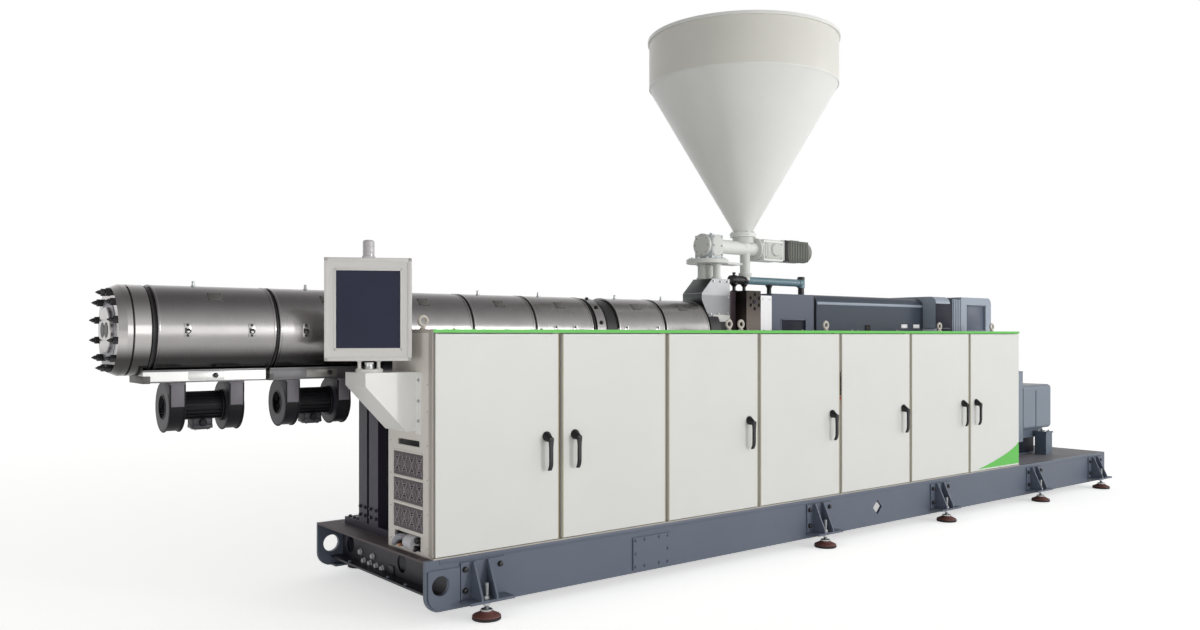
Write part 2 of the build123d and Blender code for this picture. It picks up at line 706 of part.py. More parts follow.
def write_feed():
    save("infeed_housing", infeed_housing())
    save("feed_platform", feed_platform())
    save("drop_box", drop_box())
    save("metering_tube", metering_tube())
    save("metering_motor", metering_motor())
    save("hopper_shell", hopper_shell())
    post = rod_z(POST_X, 0, BEAM_Z, METER_Z, POST_R)
    post -= rod_x(POST_X - POST_R - 1, POST_X + POST_R + 1, 0, METER_Z, METER_TUBE_R)
    save("hopper_post", post - rod_x(POST_X - POST_R - 1, POST_X + POST_R + 1, 0, BEAM_Z, BEAM_R))


# Drive row


def pedestal():
    """The closed plinth under the drive row, with a flange at its foot and head and upright ribs."""
    half = DRIVE_HALF_WIDTH
    core = PEDESTAL_CORE_HALF_WIDTH
    plinth = block(PEDESTAL_X0, PEDESTAL_X1, -core, core, BASE_TOP, PEDESTAL_TOP)
    plinth += block(PEDESTAL_X0, PEDESTAL_X1, -half, half, BASE_TOP, BASE_TOP + PEDESTAL_FLANGE)
    plinth += block(PEDESTAL_X0, PEDESTAL_X1, -half, half, PEDESTAL_TOP - PEDESTAL_FLANGE, PEDESTAL_TOP)
    pitch = (PEDESTAL_X1 - PEDESTAL_X0 - PEDESTAL_RIB) / (PEDESTAL_RIBS - 1)
    for index in range(PEDESTAL_RIBS):
        x = PEDESTAL_X0 + index * pitch
        plinth += block(x, x + PEDESTAL_RIB, -half, half, BASE_TOP, PEDESTAL_TOP)
    return plinth


def ring_plate():
    """The plate with a ring of round holes in each side."""
    half = DRIVE_HALF_WIDTH
    plate = block(COUPLING_BLOCK_X1, RING_PLATE_X1, -half, half, PEDESTAL_TOP, RING_PLATE_TOP)
    for index in range(6):
        angle = math.radians(60 * index)
        x = RING_HOLE_X + RING_PITCH_R * math.sin(angle)
        z = RING_HOLE_Z + RING_PITCH_R * math.cos(angle)
        plate -= rod_y(x, -half - 1, -half + RING_HOLE_DEPTH, z, RING_HOLE_R)
        plate -= rod_y(x, half - RING_HOLE_DEPTH, half + 1, z, RING_HOLE_R)
    return plate


def side_windows(x0, x1, z0, z1):
    """Two shallow windows, one in each side of the drive row."""
    half = DRIVE_HALF_WIDTH
    near = block(x0, x1, -half - 1, -half + WINDOW_DEPTH, z0, z1)
    return near + block(x0, x1, half - WINDOW_DEPTH, half + 1, z0, z1)


def motor_cover():
    """The long motor cover with rounded top edges, and the narrower step towards the gearbox."""
    half = DRIVE_HALF_WIDTH
    cover = block(COVER_START_X, MOTOR_COVER_X1, -half, half, PEDESTAL_TOP, MOTOR_COVER_TOP)
    cover = fillet(cover.edges().filter_by(Axis.X).group_by(Axis.Z)[-1], COVER_EDGE_R)
    return cover + block(GEARBOX_X1, COVER_START_X, -half + COVER_STEP, half - COVER_STEP, PEDESTAL_TOP,
                         MOTOR_COVER_TOP - COVER_STEP)


def rear_blocks():
    """The block with rounded buttresses, the lower ribbed block and the box at the row's end."""
    half = DRIVE_HALF_WIDTH
    buttress = block(MOTOR_COVER_X1, MOTOR_COVER_X1 + BUTTRESS_LENGTH, -BUTTRESS_HALF_WIDTH,
                     BUTTRESS_HALF_WIDTH, BUTTRESS_Z0, ROUND_BLOCK_TOP)
    buttress = fillet(buttress.edges().filter_by(Axis.X).group_by(Axis.Z)[-1], BUTTRESS_EDGE_R)
    rear = block(MOTOR_COVER_X1, ROUND_BLOCK_X1, -half, half, PEDESTAL_TOP, ROUND_BLOCK_TOP) + buttress
    rear += block(ROUND_BLOCK_X1, STRIP_BLOCK_X1, -half, half, PEDESTAL_TOP,
                  ROUND_BLOCK_TOP - STRIP_BLOCK_DROP)
    box = block(STRIP_BLOCK_X1, REAR_BOX_X1, -half, half, PEDESTAL_TOP, REAR_BOX_TOP)
    box = fillet(box.edges().filter_by(Axis.Y).group_by(Axis.Z)[-1].group_by(Axis.X)[-1], REAR_BOX_EDGE_R)
    return rear + box - side_windows(REAR_BOX_X1 - REAR_WINDOW_LEFT, REAR_BOX_X1 - REAR_WINDOW_RIGHT,
                                     REAR_WINDOW_Z0, REAR_WINDOW_Z1)


def lifting_beam():
    """A round beam in three clamps over the drive row, with an upright sleeve at its end."""
    beam = rod_x(BEAM_X0, BEAM_X1, 0, BEAM_Z, BEAM_R)
    reach = BEAM_CLAMP_LENGTH / 2
    for x, foot in BEAM_CLAMPS:
        beam += block(x - reach, x + reach, -BEAM_CLAMP_HALF_Y, BEAM_CLAMP_HALF_Y, foot, BEAM_Z)
    return beam + rod_z(BEAM_X1, 0, MOTOR_COVER_TOP, BEAM_POST_TOP, BEAM_R)


def write_drive():
    half = DRIVE_HALF_WIDTH
    save("drive_pedestal", pedestal())
    save("coupling_block", block(INFEED_X1, COUPLING_BLOCK_X1, -INFEED_HALF_Y, INFEED_HALF_Y, PEDESTAL_TOP,
                                 COUPLING_BLOCK_TOP))
    save("ring_plate", ring_plate())
    save("coupling_guard", block(RING_PLATE_X1, GUARD_X1, -half, half, PEDESTAL_TOP, GUARD_TOP))
    gearbox = block(GUARD_X1, GEARBOX_X1, -half, half, PEDESTAL_TOP, GEARBOX_TOP)
    save("gearbox_housing", gearbox - side_windows(GEARBOX_WINDOW_X0, GEARBOX_WINDOW_X1, GEARBOX_WINDOW_Z0,
                                                   GEARBOX_WINDOW_Z1))
    save("motor_cover", motor_cover())
    save("rear_drive_blocks", rear_blocks())
    save("lifting_beam", lifting_beam())


# Lower motor


def lower_motor():
    """The motor's box with rounded edges and a groove round it, and the belt guard at its end."""
    x = LOWER_MOTOR_X0 + MOTOR_GROOVE_OFFSET
    body = block(LOWER_MOTOR_X0, LOWER_MOTOR_X1, LOWER_MOTOR_Y0, LOWER_MOTOR_Y1, LOWER_MOTOR_Z0,
                 LOWER_MOTOR_Z1)
    body = fillet(body.edges().filter_by(Axis.X), LOWER_MOTOR_EDGE_R)
    end_edges = body.edges().filter_by(Axis.Y).group_by(Axis.X)[-1]
    body = fillet(end_edges, LOWER_MOTOR_EDGE_R)
    for y in (LOWER_MOTOR_Y0, LOWER_MOTOR_Y1):
        body -= block(x, x + MOTOR_GROOVE, y - WINDOW_DEPTH, y + WINDOW_DEPTH, LOWER_MOTOR_Z0 - 1,
                      MOTOR_GROOVE_TOP)
    return body + block(BELT_GUARD_X0, LOWER_MOTOR_X0, BELT_GUARD_Y0, BELT_GUARD_Y1, BELT_GUARD_Z0,
                        BELT_GUARD_TOP)


def lower_motor_stand():
    """The dark base, the slide plate with two rails, and the capped jack post beside it."""
    x0 = LOWER_MOTOR_X0
    x1 = LOWER_MOTOR_X1 - RAIL_WIDTH
    base = block(x0 + RAIL_WIDTH, x1 - RAIL_WIDTH, SLIDE_Y0 + RAIL_WIDTH, SLIDE_Y1 - RAIL_WIDTH, BASE_TOP,
                 STAND_TOP)
    base += block(x0, x1, SLIDE_Y0, SLIDE_Y1, STAND_TOP, SLIDE_PLATE_TOP)
    for y in (SLIDE_Y0, SLIDE_Y1 - RAIL_WIDTH):
        base += block(x0, x1, y, y + RAIL_WIDTH, SLIDE_PLATE_TOP, LOWER_MOTOR_Z0)
    post_x0 = LOWER_MOTOR_X1 - JACK_POST_LEFT
    post_x1 = LOWER_MOTOR_X1 - JACK_POST_RIGHT
    post = block(post_x0, post_x1, JACK_POST_Y0, JACK_POST_Y1, BASE_TOP, JACK_POST_TOP)
    post += block(post_x0 - JACK_CAP_OVERHANG, post_x1 + JACK_CAP_OVERHANG, JACK_POST_Y0 - JACK_CAP_OVERHANG,
                  JACK_POST_Y1 + JACK_CAP_OVERHANG, JACK_POST_TOP, JACK_POST_TOP + JACK_CAP)
    return [base, post]


def write_lower_motor():
    save("lower_motor", lower_motor())
    save("lower_motor_stand", *lower_motor_stand())


# Cabinets


def door_edges():
    """The gaps' middles: the left bank's, then the right bank's, shared out to the cabinet's end."""
    edges = list(LEFT_BANK_EDGES)
    pitch = (CABINET_X1 - edges[-1]) / len(RIGHT_BANK_TRIMS)
    for trim in RIGHT_BANK_TRIMS:
        edges.append(edges[-1] + pitch + trim)
    return edges


DOOR_EDGES = door_edges()


def hinge_xs():
    """Where each door's hinge axis stands."""
    places = []
    for index, side in enumerate(DOOR_HINGES):
        if side == "left":
            places.append(DOOR_EDGES[index] + DOOR_GAP / 2 + HINGE_INSET)
        else:
            places.append(DOOR_EDGES[index + 1] - DOOR_GAP / 2 - HINGE_INSET)
    return places


def handle_xs():
    """Where each handle's hub stands, near its door's free edge."""
    places = []
    for index, side in enumerate(DOOR_HINGES):
        if side == "left":
            places.append(DOOR_EDGES[index + 1] - HANDLE_INSET)
        else:
            places.append(DOOR_EDGES[index] + HANDLE_INSET)
    return places


HINGE_Y = CABINET_FRONT + DOOR_THICK / 2
DOOR_Z0 = SILL_TOP + DOOR_RUNNING_GAP
DOOR_Z1 = ROOF_BOTTOM - DOOR_RUNNING_GAP


def door(index):
    """A folded sheet pan with hinge lugs and a hole for the handle's spindle."""
    x0 = DOOR_EDGES[index] + DOOR_GAP / 2
    x1 = DOOR_EDGES[index + 1] - DOOR_GAP / 2
    back = CABINET_FRONT + DOOR_THICK
    pan = block(x0, x1, CABINET_FRONT, back, DOOR_Z0, DOOR_Z1)
    pan -= block(x0 + DOOR_WALL, x1 - DOOR_WALL, CABINET_FRONT + DOOR_WALL, back + 1,
                 DOOR_Z0 + DOOR_WALL, DOOR_Z1 - DOOR_WALL)
    hinge_x = hinge_xs()[index]
    lug_x0 = hinge_x - HINGE_LUG / 2
    for z0, z1 in ((DOOR_Z0, DOOR_Z0 + HINGE_LUG), (DOOR_Z1 - HINGE_LUG, DOOR_Z1)):
        pan += block(lug_x0, lug_x0 + HINGE_LUG, CABINET_FRONT, back, z0, z1)
        pan -= rod_z(hinge_x, HINGE_Y, z0 - 1, z1 + 1, HINGE_PIN_R + HINGE_CLEARANCE)
    return pan - rod_y(handle_xs()[index], CABINET_FRONT - 1, CABINET_FRONT + DOOR_WALL + 1, HANDLE_Z,
                       SPINDLE_R + HINGE_CLEARANCE)


def handle(index):
    """The swing handle: a tapered hub on its spindle, with a hooked lever that hangs down."""
    x = handle_xs()[index]
    hub = [(0, HINGE_CLEARANCE), (HANDLE_BASE_R, HINGE_CLEARANCE), (HANDLE_BASE_R, HANDLE_BASE_RIM),
           (HANDLE_HUB_R, HANDLE_HUB_CONE), (HANDLE_HUB_R, HANDLE_HUB_PROUD), (0, HANDLE_HUB_PROUD)]
    turned = Pos(x, CABINET_FRONT, HANDLE_Z) * Rot(90, 0, 0) * turned_z(hub, 0, 0)
    turned += rod_y(x, CABINET_FRONT - HANDLE_BASE_RIM, CABINET_FRONT + DOOR_WALL + SPINDLE_REACH, HANDLE_Z,
                    SPINDLE_R)
    back = CABINET_FRONT - LEVER_GAP
    front = back - LEVER_THICK
    bottom = HANDLE_Z - LEVER_LENGTH
    lever = block(x - LEVER_WIDTH / 2, x + LEVER_WIDTH / 2, front, back, bottom, HANDLE_Z)
    lever += block(x - LEVER_WIDTH / 2, x + LEVER_WIDTH / 2, back, back + LEVER_HOOK, bottom,
                   bottom + LEVER_HOOK_HEIGHT)
    return turned + lever


def hinge_pins(z0, z1):
    """Pins for every door between two heights."""
    pins = rod_z(hinge_xs()[0], HINGE_Y, z0, z1, HINGE_PIN_R)
    for x in hinge_xs()[1:]:
        pins += rod_z(x, HINGE_Y, z0, z1, HINGE_PIN_R)
    return pins


def cabinet_end_left():
    """The ventilated end panel with a slot, three fan rows, the cable cut-out and its deeper foot."""
    x0 = CABINET_X0
    x1 = CABINET_X0 + CABINET_SHEET
    front = CABINET_FRONT
    panel = block(x0, x1, front + POST_SETBACK, CABINET_BACK, SILL_TOP, ROOF_BOTTOM)
    panel += block(x0, x1, CABINET_BACK, CABINET_BACK + END_TAIL, BASE_TOP, END_TAIL_TOP)
    panel -= block(x0 - 1, x1 + 1, front + SLOT_FRONT, CABINET_BACK - SLOT_BACK, SLOT_Z0, SLOT_Z1)
    panel -= block(x0 - 1, x1 + 1, front + CUTOUT_FRONT, CABINET_BACK - CUTOUT_BACK, CUTOUT_Z0, CUTOUT_Z1)
    for z0, z1 in FAN_ROWS_Z:
        panel -= block(x0 - 1, x1 + 1, front + FAN_FRONT, CABINET_BACK - FAN_BACK, z0, z1)
    return panel


def fan_row(z0, z1):
    """A row of compact fans behind cross-shaped guards, filling one window of the end panel."""
    y0 = CABINET_FRONT + FAN_FRONT
    y1 = CABINET_BACK - FAN_BACK
    pitch = (y1 - y0) / FAN_COLUMNS
    x0 = CABINET_X0 + FAN_INSET
    row = block(x0, CABINET_X0 + CABINET_SHEET, y0, y1, z0, z1)
    row += block(CABINET_X0 + CABINET_SHEET, CABINET_X0 + FAN_DEPTH, y0, CABINET_BACK - CABINET_SHEET,
                 z0, z1)
    for index in range(FAN_COLUMNS):
        y = y0 + (index + 0.5) * pitch
        row -= rod_x(x0 - 1, x0 + FAN_CUP, y, (z0 + z1) / 2, pitch * FAN_BORE)
        row += rod_x(x0 + FAN_INSET, x0 + FAN_CUP, y, (z0 + z1) / 2, pitch * FAN_HUB)
    return row


def eye_xs():
    """Where the lifting eyes stand: by both ends, by the banks' seam and over two doors."""
    seam = LEFT_BANK_EDGES[-1]
    return (CABINET_X0 + 65, seam - 54, seam + 66, DOOR_EDGES[4] + 121, DOOR_EDGES[6] - 87, CABINET_X1 - 60)


def lifting_eye(x):
    """A welded ring on the roof."""
    y = (CABINET_FRONT + CABINET_BACK) / 2
    ring = Pos(x, y, CABINET_TOP + EYE_STEM + EYE_R) * Rot(90, 0, 0) * Torus(EYE_R, EYE_WIRE_R)
    return ring + rod_z(x, y, CABINET_TOP, CABINET_TOP + EYE_STEM + 2, EYE_WIRE_R + 2)


def write_cabinets():
    front = CABINET_FRONT
    post_front = front + POST_SETBACK
    floor = block(CABINET_X0, CABINET_X1, front, CABINET_BACK, BASE_TOP, SILL_TOP)
    save("cabinet_floor", floor + hinge_pins(SILL_TOP, DOOR_Z0 + HINGE_ENGAGE))
    roof = block(CABINET_X0, CABINET_X1, front + STRIP_THICK, CABINET_BACK, ROOF_BOTTOM, CABINET_TOP)
    save("cabinet_roof", roof + hinge_pins(DOOR_Z1 - HINGE_ENGAGE, ROOF_BOTTOM))
    strip = block(CABINET_X0, CABINET_X1, front, front + STRIP_THICK, ROOF_BOTTOM, CABINET_TOP)
    save("cabinet_strip", strip)
    save("cabinet_back", block(CABINET_X0 + CABINET_SHEET, CABINET_X1, CABINET_BACK - CABINET_SHEET,
                               CABINET_BACK, SILL_TOP, ROOF_BOTTOM))
    save("cabinet_end_left", cabinet_end_left())
    save("cabinet_end_right", block(CABINET_X1 - CABINET_SHEET, CABINET_X1, post_front,
                                    CABINET_BACK - CABINET_SHEET, SILL_TOP, ROOF_BOTTOM))
    posts = [block(x - POST_WIDTH / 2, x + POST_WIDTH / 2, post_front, post_front + POST_DEPTH, SILL_TOP,
                   ROOF_BOTTOM) for x in DOOR_EDGES[1:-1]]
    save("cabinet_posts", *posts)
    save("fan_units", *[fan_row(z0, z1) for z0, z1 in FAN_ROWS_Z])
    save("lifting_eyes", *[lifting_eye(x) for x in eye_xs()])
    for index in range(len(DOOR_HINGES)):
        save(f"door_{index + 1}", door(index))
        save(f"handle_{index + 1}", handle(index))


# Console arm and operator panel


def console_arm():
    """The bracket on the cabinet's end, with the spigot that the panel turns on."""
    side = [(ARM_TIP_X, ARM_TOP), (ARM_TIP_X, ARM_TIP_Z), (CABINET_X0 - ARM_FOOT_DEPTH, ARM_FOOT_Z),
            (CABINET_X0, ARM_FOOT_Z), (CABINET_X0, ARM_TOP)]
    arm = prism_y(side, ARM_Y0, ARM_Y1)
    arm += block(CABINET_X0 - ARM_FLANGE, CABINET_X0, ARM_FLANGE_Y0, ARM_Y0, ARM_FLANGE_Z0, ARM_TOP)
    return arm + rod_z(PANEL_X, PANEL_Y, ARM_TOP, PANEL_Z0 - 10, SWIVEL_SPIGOT_R)


def place_panel(shape):
    """Turn and place a piece that is drawn facing -Y about the swivel axis."""
    return Pos(PANEL_X, PANEL_Y, 0) * Rot(0, 0, PANEL_TURN) * shape


def panel_housing():
    """The panel box with a recess for the screen, on two legs and a round plate."""
    half = PANEL_WIDTH / 2
    front = -PANEL_BACK - PANEL_DEPTH
    middle = (PANEL_Z0 + PANEL_Z1) / 2
    box = block(-half, half, front, -PANEL_BACK, PANEL_Z0, PANEL_Z1)
    box = fillet(box.edges().filter_by(Axis.Y), PANEL_EDGE_R)
    box -= block(-SCREEN_WIDTH / 2, SCREEN_WIDTH / 2, front - 1, front + SCREEN_RECESS + SCREEN_GLASS,
                 middle - SCREEN_HEIGHT / 2, middle + SCREEN_HEIGHT / 2)
    plate_bottom = ARM_TOP + HINGE_CLEARANCE
    plate_top = plate_bottom + SWIVEL_PLATE
    plate = rod_z(0, 0, plate_bottom, plate_top, SWIVEL_PLATE_R)
    plate -= rod_z(0, 0, plate_bottom - 1, plate_top + 1, SWIVEL_SPIGOT_R + HINGE_CLEARANCE)
    leg_y = -PANEL_BACK - SWIVEL_LEG_R - 2
    for side in (-1, 1):
        plate += rod_z(side * SWIVEL_LEG_PITCH / 2, leg_y, plate_top, PANEL_Z0, SWIVEL_LEG_R)
    return box + plate


def write_console():
    save("console_arm", console_arm())
    save("panel_housing", place_panel(panel_housing()))
    front = -PANEL_BACK - PANEL_DEPTH
    middle = (PANEL_Z0 + PANEL_Z1) / 2
    screen = block(-SCREEN_WIDTH / 2, SCREEN_WIDTH / 2, front + SCREEN_RECESS,
                   front + SCREEN_RECESS + SCREEN_GLASS, middle - SCREEN_HEIGHT / 2,
                   middle + SCREEN_HEIGHT / 2)
    save("panel_screen", place_panel(screen))
    beacon_y = -PANEL_BACK - PANEL_DEPTH / 2
    beacon = rod_z(0, beacon_y, PANEL_Z1, PANEL_Z1 + BEACON_HEIGHT, BEACON_R)
    save("panel_beacon", place_panel(beacon))


write_base()
write_feet()
write_barrel()
write_blowers()
save("barrel_portal", portal())
write_feed()
write_drive()
write_lower_motor()
write_cabinets()
write_console()
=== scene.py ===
import math

import bpy
from mathutils import Matrix, Vector


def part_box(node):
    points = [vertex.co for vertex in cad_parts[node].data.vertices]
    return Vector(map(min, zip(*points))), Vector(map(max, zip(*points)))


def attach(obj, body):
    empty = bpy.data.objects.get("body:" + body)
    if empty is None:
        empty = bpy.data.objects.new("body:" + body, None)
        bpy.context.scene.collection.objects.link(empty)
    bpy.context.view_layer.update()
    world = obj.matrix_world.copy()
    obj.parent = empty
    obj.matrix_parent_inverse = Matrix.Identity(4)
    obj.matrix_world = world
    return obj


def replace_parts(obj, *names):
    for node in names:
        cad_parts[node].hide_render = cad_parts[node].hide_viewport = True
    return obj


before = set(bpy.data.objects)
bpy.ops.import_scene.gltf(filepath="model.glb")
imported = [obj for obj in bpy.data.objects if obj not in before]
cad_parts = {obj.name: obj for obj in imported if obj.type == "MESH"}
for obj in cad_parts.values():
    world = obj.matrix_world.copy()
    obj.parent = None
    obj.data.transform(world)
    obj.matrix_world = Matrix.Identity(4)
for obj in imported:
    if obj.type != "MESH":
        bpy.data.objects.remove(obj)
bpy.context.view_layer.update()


# The studio
# A pale floor, white walls and a dim ceiling. A long soft lamp stands in front, a small far one
# gives the shadows their edge, and two light the sides. Places are in mm from the base's left end.
LEFT_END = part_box("base_sides")[0].x
TIMES = {"operation": "MULTIPLY"}
GREATER = {"operation": "MAXIMUM"}


def at(x, y, z):
    """A place in millimetres from the base's left end, as a place in the frame in metres."""
    return Vector((LEFT_END + x / 1000, y / 1000, z / 1000))


def paint(code, factor=1):
    """An sRGB hex colour as linear red, green, blue and alpha, made darker or lighter by a factor."""
    parts = [int(code[index:index + 2], 16) / 255 for index in (1, 3, 5)]
    linear = [part / 12.92 if part <= 0.04045 else ((part + 0.055) / 1.055) ** 2.4 for part in parts]
    return [min(1, part * factor) for part in linear] + [1]


def node(tree, kind, settings=None, **sockets):
    """Adds a shader node. A socket gets a value, or a link from an output or a node's first one."""
    made = tree.nodes.new("ShaderNode" + kind)
    for key, value in (settings or {}).items():
        setattr(made, key, value)
    for key, value in sockets.items():
        socket = made.inputs[int(key[1:]) if key[1:].isdigit() else key.replace("_", " ")]
        if isinstance(value, bpy.types.Node):
            value = value.outputs[0]
        if isinstance(value, bpy.types.NodeSocket):
            tree.links.new(value, socket)
        else:
            socket.default_value = value
    return made


def seen(tree):
    """1 for rays that show the background to the camera, in a mirror or through glass, else 0."""
    path = node(tree, "LightPath")
    shown = node(tree, "Math", GREATER, i0=path.outputs["Is Camera Ray"], i1=path.outputs["Is Glossy Ray"])
    return node(tree, "Math", GREATER, i0=shown, i1=path.outputs["Is Transmission Ray"])


world = bpy.data.worlds.new("studio")
world.use_nodes = True
bpy.context.scene.world = world
sky = world.node_tree
sky.nodes.clear()
towards = node(sky, "TexCoord")
way = node(sky, "SeparateXYZ", i0=towards.outputs["Generated"])
crown = node(sky, "MapRange", Value=way.outputs["Z"], From_Min=0.36, From_Max=0.9, To_Min=1, To_Max=0.3)
room = node(sky, "MapRange", Value=way.outputs["Z"], From_Min=0.36, To_Min=1, To_Max=0.17)
left_wall = node(sky, "MapRange", Value=way.outputs["X"], From_Min=-1, From_Max=-0.2, To_Min=0.45)
around = node(sky, "Math", TIMES, i0=room, i1=left_wall)
backdrop = node(sky, "Math", GREATER, i0=around, i1=node(sky, "LightPath").outputs["Is Camera Ray"])
walls = node(sky, "Background", Color=backdrop, Strength=1)
window_side = node(sky, "MapRange", Value=way.outputs["X"], From_Min=-1, To_Min=0.36, To_Max=0.98)
fill = node(sky, "Math", TIMES, i0=crown, i1=window_side)
soft = node(sky, "Background", Color=fill, Strength=1)
both = node(sky, "MixShader", i0=seen(sky), i1=soft, i2=walls)
node(sky, "OutputWorld", Surface=both)


def lamp(name, place, aim, width, tall, power):
    """A rectangular soft lamp that looks at a place."""
    light = bpy.data.lights.new(name, "AREA")
    light.shape = "RECTANGLE"
    light.size = width
    light.size_y = tall
    light.energy = power
    holder = bpy.data.objects.new(name, light)
    bpy.context.collection.objects.link(holder)
    holder.location = place
    holder.rotation_euler = (aim - place).to_track_quat("-Z", "Y").to_euler()


lamp("front_lamp", at(3400, -9500, 1750), at(3200, 0, 1500), 13, 3.4, 170)
lamp("right_lamp", at(15500, -8500, 4500), at(3000, 0, 1900), 4, 4, 220)
lamp("far_lamp", at(11500, -19500, 3000), at(3000, 0, 1500), 1.5, 1.5, 900)
lamp("left_lamp", at(-4800, -2200, 700), at(50, -400, 700), 1.6, 1.6, 40)

view = bpy.data.cameras.new("camera")
camera = bpy.data.objects.new("camera", view)
bpy.context.collection.objects.link(camera)
camera.location = at(-2470.5, -5190, 1500)
camera.rotation_euler = (math.radians(90), 0, math.radians(-38.86))
view.lens = 29.51
view.shift_y = 0.01673
bpy.context.scene.camera = camera
bpy.context.scene.view_settings.view_transform = "Standard"


def deselect():
    """Leaves nothing selected, the imported nodes included."""
    bpy.ops.object.select_all(action="DESELECT")


def material(name):
    """A node material with no nodes yet, and its tree."""
    made = bpy.data.materials.new(name)
    made.use_nodes = True
    made.node_tree.nodes.clear()
    return made, made.node_tree


def grain(tree, size, stretch=(1, 1, 1), detail=3):
    """Noise on the piece's own millimetres: size is the grain's width, stretch its length each way."""
    place = node(tree, "TexCoord")
    scale = [1000 / (size * length) for length in stretch]
    laid = node(tree, "Mapping", Vector=place.outputs["Object"], Scale=scale)
    return node(tree, "TexNoise", Vector=laid, Scale=1, Detail=detail).outputs["Fac"]


deselect()
bpy.ops.mesh.primitive_plane_add(size=80, location=(0, 0, 0))
floor = bpy.context.object
floor.name = "floor"
floor_paint, tree = material("matt white floor paint")
speckle = node(tree, "MapRange", Value=grain(tree, 60), To_Min=0.75, To_Max=0.85)
place = node(tree, "TexCoord")
away = node(tree, "VectorMath", {"operation": "LENGTH"}, i0=place.outputs["Object"])
glow = node(tree, "MapRange", Value=away.outputs["Value"], From_Min=3, From_Max=12, To_Min=0.55, To_Max=0.66)
glow = node(tree, "Math", TIMES, i0=glow, i1=seen(tree))
shader = node(tree, "BsdfPrincipled", Base_Color=paint("#F4F4F2"), Roughness=speckle,
              Specular_IOR_Level=0.1, Emission_Color=(1, 1, 1, 1), Emission_Strength=glow)
node(tree, "OutputMaterial", Surface=shader)
floor.data.materials.append(floor_paint)


# The base frame
# Two long channels of 20 mm plate with set-back end webs, welded up and sprayed slate blue. Bolts
# hold the inspection cover, and plugs, glands and a cable cover sit on the left web.
ORIGIN = Vector((0, 0, 0))
ALONG = (1, 0, 0)
UP = (0, 0, 1)
TO_HEAD = (-1, 0, 0)
SIDES = (-1, 1)
COLOURS = {"data_type": "RGBA"}


def coat(name, code, rough, peel=2.2, depth=0.04, mottle=0.05, shine=0.4):
    """Sprayed paint: a faint orange peel that breaks up the gloss, and a slow drift in the colour."""
    made, tree = material(name)
    colour = node(tree, "Mix", COLOURS, i0=grain(tree, 340), i6=paint(code, 1 - 2.2 * mottle),
                  i7=paint(code, 1 + mottle))
    gloss = node(tree, "MapRange", Value=grain(tree, 45, detail=5), To_Min=rough - 0.06, To_Max=rough + 0.06)
    skin = node(tree, "Bump", Height=grain(tree, peel, detail=1), Strength=0.35, Distance=depth / 1000)
    shader = node(tree, "BsdfPrincipled", Base_Color=colour.outputs[2], Roughness=gloss,
                  Specular_IOR_Level=shine, Normal=skin)
    node(tree, "OutputMaterial", Surface=shader)
    return made


def give(finish, *names):
    """The finish of CAD nodes, put in their own slots."""
    for name in names:
        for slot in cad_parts[name].material_slots:
            slot.material = finish


def only(piece):
    """Selects one piece alone."""
    deselect()
    piece.select_set(True)
    bpy.context.view_layer.objects.active = piece


def edit(piece):
    """Opens one piece in edit mode, with all of it selected."""
    only(piece)
    bpy.ops.object.mode_set(mode="EDIT")
    bpy.ops.mesh.select_all(action="SELECT")


def close():
    """Leaves edit mode."""
    bpy.ops.object.mode_set(mode="OBJECT")


def place_applied():
    """Puts the chosen piece's place, turn and size into its mesh."""
    bpy.ops.object.transform_apply(location=True, rotation=True, scale=True)


def joined(pieces):
    """Several meshes as one piece."""
    only(pieces[0])
    for piece in pieces[1:]:
        piece.select_set(True)
    if len(pieces) > 1:
        bpy.ops.object.join()
    return bpy.context.object


def settle(piece, name, finish, body="machine", smooth=32):
    """A finished piece, of one mesh or a list: its name and finish, its slot, and the body it rides."""
    if isinstance(piece, list):
        piece = joined(piece)
    only(piece)
    place_applied()
    bpy.ops.object.shade_smooth_by_angle(angle=math.radians(smooth))
    piece.name = name
    piece.data.name = name
    piece.data.materials.clear()
    piece.data.materials.append(finish)
    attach(piece, body)
    return piece


def sketch(points, edges, faces):
    """A new mesh from its points, and the edges or faces between them."""
    mesh = bpy.data.meshes.new("sketch")
    mesh.from_pydata(points, edges, faces)
    made = bpy.data.objects.new("sketch", mesh)
    bpy.context.collection.objects.link(made)
    return made


def box(x, y, z, edge=2, segments=2):
    """A block between millimetre limits, with its edges rounded."""
    deselect()
    low, high = at(x[0], y[0], z[0]), at(x[1], y[1], z[1])
    bpy.ops.mesh.primitive_cube_add(size=1, location=(low + high) / 2)
    made = bpy.context.object
    made.scale = high - low
    place_applied()
    edit(made)
    bpy.ops.mesh.bevel(offset=edge / 1000, segments=segments, affect="EDGES")
    close()
    return made


def lathe(profile, centre=ORIGIN, axis=UP, steps=40):
    """A closed outline of (radius, height) millimetres, spun about an axis through a place."""
    axis = Vector(axis)
    out = Vector(ALONG) if abs(axis.z) > 0.5 else Vector(UP)
    points = [centre + out * radius / 1000 + axis * height / 1000 for radius, height in profile]
    made = sketch(points, [(index, index + 1) for index in range(len(points) - 1)], [])
    edit(made)
    bpy.ops.mesh.spin(steps=steps, angle=2 * math.pi, center=centre, axis=axis)
    bpy.ops.mesh.select_all(action="SELECT")
    bpy.ops.mesh.remove_doubles(threshold=0.00002)
    bpy.ops.mesh.normals_make_consistent(inside=False)
    close()
    return made


def copies(piece, moves):
    """The piece once for each matrix, each copy with its own mesh, joined; the pattern itself goes."""
    made = []
    for move in moves:
        twin = piece.copy()
        twin.data = piece.data.copy()
        twin.data.transform(move)
        bpy.context.collection.objects.link(twin)
        made.append(twin)
    bpy.data.objects.remove(piece)
    return joined(made)


def to(x, y, z):
    """A move from the origin to a place in millimetres from the base's left end."""
    return Matrix.Translation(at(x, y, z))


